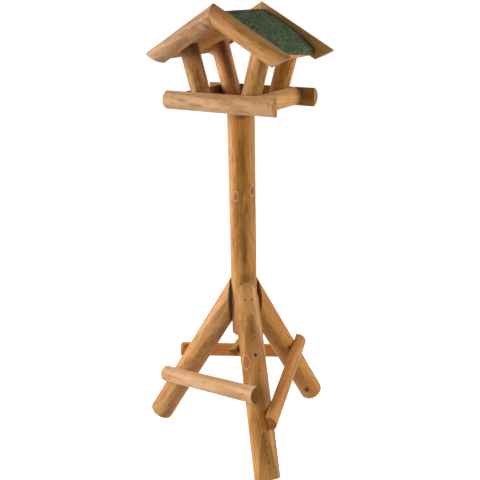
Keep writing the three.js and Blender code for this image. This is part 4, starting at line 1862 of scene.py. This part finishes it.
@dataclass(frozen=True)
class Felt:
    """The sheet of roofing felt, bowed up off each slope and turned down at its hems.

    Args:
        thickness: The sheet's thickness.
        seat: The gap between the sheet and the boards.
        bulge: How far the middle of each slope is bowed up.
        ridge_lift: How far the fold stands off the ridge.
        fold: How far the folds are rounded to each side.
        hem: How far the hems hang at the most.
        hem_rise: How much shorter they are at the least.
        flare: How far the hems' lower edges stand out.
        end_gap: The gap between the sheet and the barge boards.
        pitch: The distance between the points of its grid.
        ripple: How far the sheet rises and falls by chance.
    """

    thickness: float = 2.5 * MM
    seat: float = 0.3 * MM
    bulge: float = 9 * MM
    ridge_lift: float = 2 * MM
    fold: float = 5 * MM
    hem: float = 12.8 * MM
    hem_rise: float = 9.5 * MM
    flare: float = 1.6 * MM
    end_gap: float = 1.5 * MM
    pitch: float = 4 * MM
    ripple: float = 0.9 * MM

    NODE = "roof_felt"
    UPPER_BOARD = "roof_board_right_upper"
    LOWER_BOARD = "roof_board_right_lower"
    BOARDS = ("roof_board_left_upper", "roof_board_left_lower", UPPER_BOARD, LOWER_BOARD)
    FINE = 0.5 * MM

    # Chance waves to the metre across the sheet, over its whole depth, and their level in the noise
    LONG_WAVE = (16, 3.4, 5.0)
    SHORT_WAVE = (40, 9, 9)
    SHORT_SHARE = 0.5
    LIFT_BIAS = 0.4
    FLARE_BIAS = 0.6

    # How far towards the front or the back the hems' highest places lie
    RIGHT_BEND = 0.75
    LEFT_BEND = 0.9

    def half_line(self) -> np.ndarray:
        """Draws the sheet's underside from the ridge to the right hem.

        Returns:
            Points (sideways from the ridge, height), in metres.
        """
        least_rise = 0.5
        low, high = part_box(self.NODE)
        top = next(face for face in flat_faces(self.UPPER_BOARD) if face.normal[2] > least_rise)
        up = np.array((top.normal[0], top.normal[2]))
        down = np.array((up[1], -up[0]))
        ridge = np.array((0.0, (top.offset - top.normal[0] * (low.x + high.x) / 2) / top.normal[2]))
        ends = np.array([vertex.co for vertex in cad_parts[self.LOWER_BOARD].data.vertices])
        ends = ends[:, [0, 2]] - ((low.x + high.x) / 2, 0)
        reach = ((ends - ridge) @ down).max() + self.seat
        shares = np.linspace(0, 1, round(reach / self.FINE))
        rise = self.seat + self.bulge * np.sin(math.pi * shares) + self.ridge_lift * (1 - shares) ** 2
        slope = ridge + np.outer(shares * reach, down) + np.outer(rise, up)
        drops = np.arange(self.FINE, self.hem, self.FINE)
        return np.vstack([slope, slope[-1] - np.outer(drops, up)])

    def line(self) -> np.ndarray:
        """Draws the sheet's whole underside, with rounded folds and even steps.

        Returns:
            Points (sideways from the ridge, height) from hem to hem, in metres.
        """
        right = self.half_line()
        points = np.vstack([(right * (-1, 1))[:0:-1], right])
        window = round(self.fold / self.FINE)
        before = 2 * points[0] - points[window:0:-1]
        after = 2 * points[-1] - points[-2:-window - 2:-1]
        points = smoothed(np.vstack([before, points, after]), window)
        return resample(points, round(steps_of(points).sum() / self.pitch) + 1)

    def wave(self, x: float, share: float) -> float:
        """Gives how high the sheet's chance waves stand at a place, from about -1 to 1.

        Args:
            x: The place's distance sideways from the ridge.
            share: The place's share of the way from front to back.

        Returns:
            The height of the waves.
        """
        long_wave, short_wave = (noise.noise(Vector((x * across, share * along, level)))
                                 for across, along, level in (self.LONG_WAVE, self.SHORT_WAVE))
        return long_wave + self.SHORT_SHARE * short_wave

    def make(self) -> None:
        """Makes the sheet in the place of its plain solid."""
        low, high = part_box(self.NODE)
        middle, depth = (low + high) / 2, high.y - low.y - 2 * self.end_gap
        line = self.line()
        length = steps_of(line).sum()
        rows = round(depth / self.pitch)
        built = bmesh.new()
        bmesh.ops.create_grid(built, x_segments=len(line) - 1, y_segments=rows, size=1)
        for vert in built.verts:
            column = round((vert.co.x + 1) / 2 * (len(line) - 1))
            share = (vert.co.y + 1) / 2
            ahead, behind = line[min(column + 1, len(line) - 1)], line[max(column - 1, 0)]
            along = (ahead - behind) / np.linalg.norm(ahead - behind)
            normal = np.array((-along[1], along[0]))
            x, z = line[column]
            wave = self.wave(x, share)
            lift = self.ripple * (wave + self.LIFT_BIAS)
            to_hem = min(column, len(line) - 1 - column) * length / (len(line) - 1) / self.hem
            hang = max(1 - to_hem, 0)
            bend = share**self.RIGHT_BEND if x > 0 else (1 - share) ** self.LEFT_BEND
            rise = self.hem_rise * math.sin(math.pi * bend) ** 2 * hang
            out = math.copysign(self.flare * hang * (self.FLARE_BIAS + wave), x)
            vert.co = Vector((middle.x + x + normal[0] * lift + out, middle.y + depth * (share - 0.5),
                              z + normal[1] * lift + rise))
        bmesh.ops.recalc_face_normals(built, faces=built.faces)
        if sum(face.normal.z * face.calc_area() for face in built.faces) < 0:
            bmesh.ops.reverse_faces(built, faces=built.faces)
        for face in built.faces:
            face.smooth = True
        piece = new_object("roof_felt_sheet", built)
        thicken = piece.modifiers.new("thickness", "SOLIDIFY")
        thicken.thickness, thicken.offset = self.thickness, 1.0
        settle(piece)
        hand_over(piece, FeltFinish().dress(middle, depth / 2), "felt", self.NODE)
        log.info("%s: flat %.0f by %.0f mm, %d faces", self.NODE, length / MM, depth / MM,
                 len(piece.data.polygons))


@dataclass(frozen=True)
class SteelFinish:
    """Dull steel nails with a little rust."""

    STEEL = tone(62, 50, 40)
    RUST = tone(84, 46, 26)
    PATCH = Pattern((0.5, 0.5, 0.5), 3.0, 0.6, deep=(0.4, 0.65))
    PITS = Pattern((2.2, 2.2, 2.2), 3.0, 0.6)
    METALLIC = 0.4
    RELIEF = 0.15 * MM

    def dress(self) -> bpy.types.Material:
        """Builds the nails' material.

        Returns:
            The material.
        """
        shader = Shader("nail_steel", metallic=self.METALLIC)
        place = shader.own_place(Vector(), Matrix.Identity(3))
        patch, pits = self.PATCH.over(place), self.PITS.over(place)
        colour = shader.mixed(patch.ease(*self.PATCH.deep), self.STEEL, self.RUST)
        return shader.finish(colour, 0.4 + patch * 0.4, pits, self.RELIEF)


def dress_nails(steel: bpy.types.Material) -> None:
    """Gives the large nails their steel.

    Args:
        steel: The nails' material.
    """
    nails = [piece for name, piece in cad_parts.items() if "_nail_" in name]
    for piece in nails:
        piece.data.materials.clear()
        piece.data.materials.append(steel)
    log.info("nails: %d", len(nails))


@dataclass(frozen=True)
class SoftBox:
    """One large soft light that faces the table.

    Args:
        name: The light's name.
        azimuth: Where it stands, in degrees from the front towards the right.
        elevation: How high it stands, in degrees.
        distance: How far it is from the table's middle.
        width: Its width.
        height: Its height.
        power: Its power in watts.
        colour: Its colour.
    """

    name: str
    azimuth: float
    elevation: float
    distance: float
    width: float
    height: float
    power: float
    colour: tuple[float, float, float]

    def hang(self) -> None:
        """Hangs the light."""
        light = bpy.data.lights.new(self.name, "AREA")
        light.shape = "RECTANGLE"
        light.size, light.size_y = self.width, self.height
        light.energy = self.power
        light.color = self.colour
        lamp = put_in_scene(self.name, light)
        turn, rise = math.radians(self.azimuth), math.radians(self.elevation)
        away = Vector((math.sin(turn) * math.cos(rise), -math.cos(turn) * math.cos(rise), math.sin(rise)))
        low, high = CAD_BOX
        lamp.location = (Vector(low) + Vector(high)) / 2 + away * self.distance
        lamp.rotation_euler = away.to_track_quat("Z", "Y").to_euler()


@dataclass(frozen=True)
class Studio:
    """A pale floor that runs to the horizon, a white backdrop, soft light and the camera.

    Args:
        reach: How far the floor runs, and how far away the backdrop stands.
        floor_light: How bright the even light from below is.
        ceiling_light: How bright the even light from above is.
        paper_glow: How much the floor adds to the light that falls on it.
        paper_shade: How much of the light that falls on the floor comes back.
        drum_glow: How bright the backdrop is by itself.
        boxes: The soft lights.
    """

    reach: float = 50.0
    floor_light: float = 0.92
    ceiling_light: float = 0.3
    paper_glow: float = 0.74
    paper_shade: float = 0.86
    drum_glow: float = 1.1
    boxes: tuple[SoftBox, ...] = (
        SoftBox("key_softbox", -56, 14, 3.1, 2.0, 2.4, 128.0, (1.0, 0.96, 0.93)),
        SoftBox("rim_softbox", 122, 12, 3.0, 1.2, 2.2, 64.0, (1.0, 0.96, 0.90)),
    )

    WEAVE = Pattern((0.4, 0.4, 0.4), 2.0)
    WEAVE_SHADE = 0.98
    WEAVE_RELIEF = 0.05 * MM
    PAPER_ROUGHNESS = 0.9
    DRUM_SHARE = 0.95
    SENSOR = 36.0
    NEAR_CLIP = 0.05

    def set_apart(self, piece: bpy.types.Object) -> None:
        """Keeps a white stage piece from lighting the table or blocking its light."""
        piece.visible_diffuse = piece.visible_glossy = piece.visible_shadow = False

    def paper(self, name: str, glow: float, shade: float) -> bpy.types.Material:
        """Makes the white paper of the floor and the backdrop.

        Args:
            name: The material's name.
            glow: How bright the paper is without any light on it.
            shade: How much of the light that falls on it comes back.

        Returns:
            The material.
        """
        shader = Shader(name)
        weave = self.WEAVE.over(shader.own_place(Vector(), Matrix.Identity(3)))
        dim = shade * self.WEAVE_SHADE
        pale = shader.mixed(weave, (shade, shade, shade, 1), (dim, dim, dim, 1))
        shader.feed(shader.surface.inputs["Emission Color"], (1, 1, 1, 1))
        shader.feed(shader.surface.inputs["Emission Strength"], glow)
        return shader.finish(pale, self.PAPER_ROUGHNESS, weave, self.WEAVE_RELIEF)

    def floor(self) -> None:
        """Lays the floor."""
        built = bmesh.new()
        bmesh.ops.create_grid(built, x_segments=1, y_segments=1, size=self.reach)
        floor = new_object("studio_floor", built)
        floor.data.materials.append(self.paper("studio_paper", self.paper_glow, self.paper_shade))
        self.set_apart(floor)

    def backdrop(self) -> None:
        """Stands a round white backdrop over the floor."""
        built = bmesh.new()
        bmesh.ops.create_uvsphere(built, u_segments=48, v_segments=24, radius=self.reach * self.DRUM_SHARE)
        bmesh.ops.reverse_faces(built, faces=built.faces)
        drum = new_object("studio_backdrop", built)
        drum.data.materials.append(self.paper("studio_backdrop_paper", self.drum_glow, 0.0))
        self.set_apart(drum)

    def sky(self) -> None:
        """Spreads even light all round, more of it from the floor than from the ceiling."""
        world = bpy.data.worlds.new("studio")
        bpy.context.scene.world = world
        world.use_nodes = True
        tree = world.node_tree
        way = tree.nodes.new("ShaderNodeTexCoord")
        split = tree.nodes.new("ShaderNodeSeparateXYZ")
        span = tree.nodes.new("ShaderNodeMapRange")
        span.inputs["From Min"].default_value = -1
        span.inputs["To Min"].default_value = self.floor_light
        span.inputs["To Max"].default_value = self.ceiling_light
        background = tree.nodes["Background"]
        background.inputs[0].default_value = (1, 1, 1, 1)
        tree.links.new(way.outputs["Generated"], split.inputs[0])
        tree.links.new(split.outputs["Z"], span.inputs["Value"])
        tree.links.new(span.outputs[0], background.inputs["Strength"])
        world.cycles_visibility.glossy = False

    def camera(self) -> None:
        """Sets up the camera at the picture's place."""
        data = bpy.data.cameras.new("picture_camera")
        data.sensor_width = self.SENSOR
        data.sensor_fit = "HORIZONTAL"
        data.lens = SIGHT.focal / SIGHT.frame_size * self.SENSOR
        data.clip_start, data.clip_end = self.NEAR_CLIP, self.reach * 2
        camera = put_in_scene("picture_camera", data)
        camera.matrix_world = Matrix.Translation(SIGHT.place()) @ SIGHT.turn().to_4x4()
        bpy.context.scene.camera = camera

    def build(self) -> None:
        """Lays the floor, stands the backdrop and hangs the lights."""
        bpy.context.scene.view_settings.view_transform = "Standard"
        self.sky()
        self.floor()
        self.backdrop()
        for box in self.boxes:
            box.hang()
        self.camera()


def main() -> None:
    """Builds the table's looks and the studio."""
    logging.basicConfig(level=logging.INFO, format="%(message)s")
    steel = SteelFinish().dress()
    for group in (Stand(), Tray(), House()):
        for work in group.works():
            work.make(steel)
    Boards().make()
    Felt().make()
    dress_nails(steel)
    Studio().build()


if __name__ == "__main__":
    main()
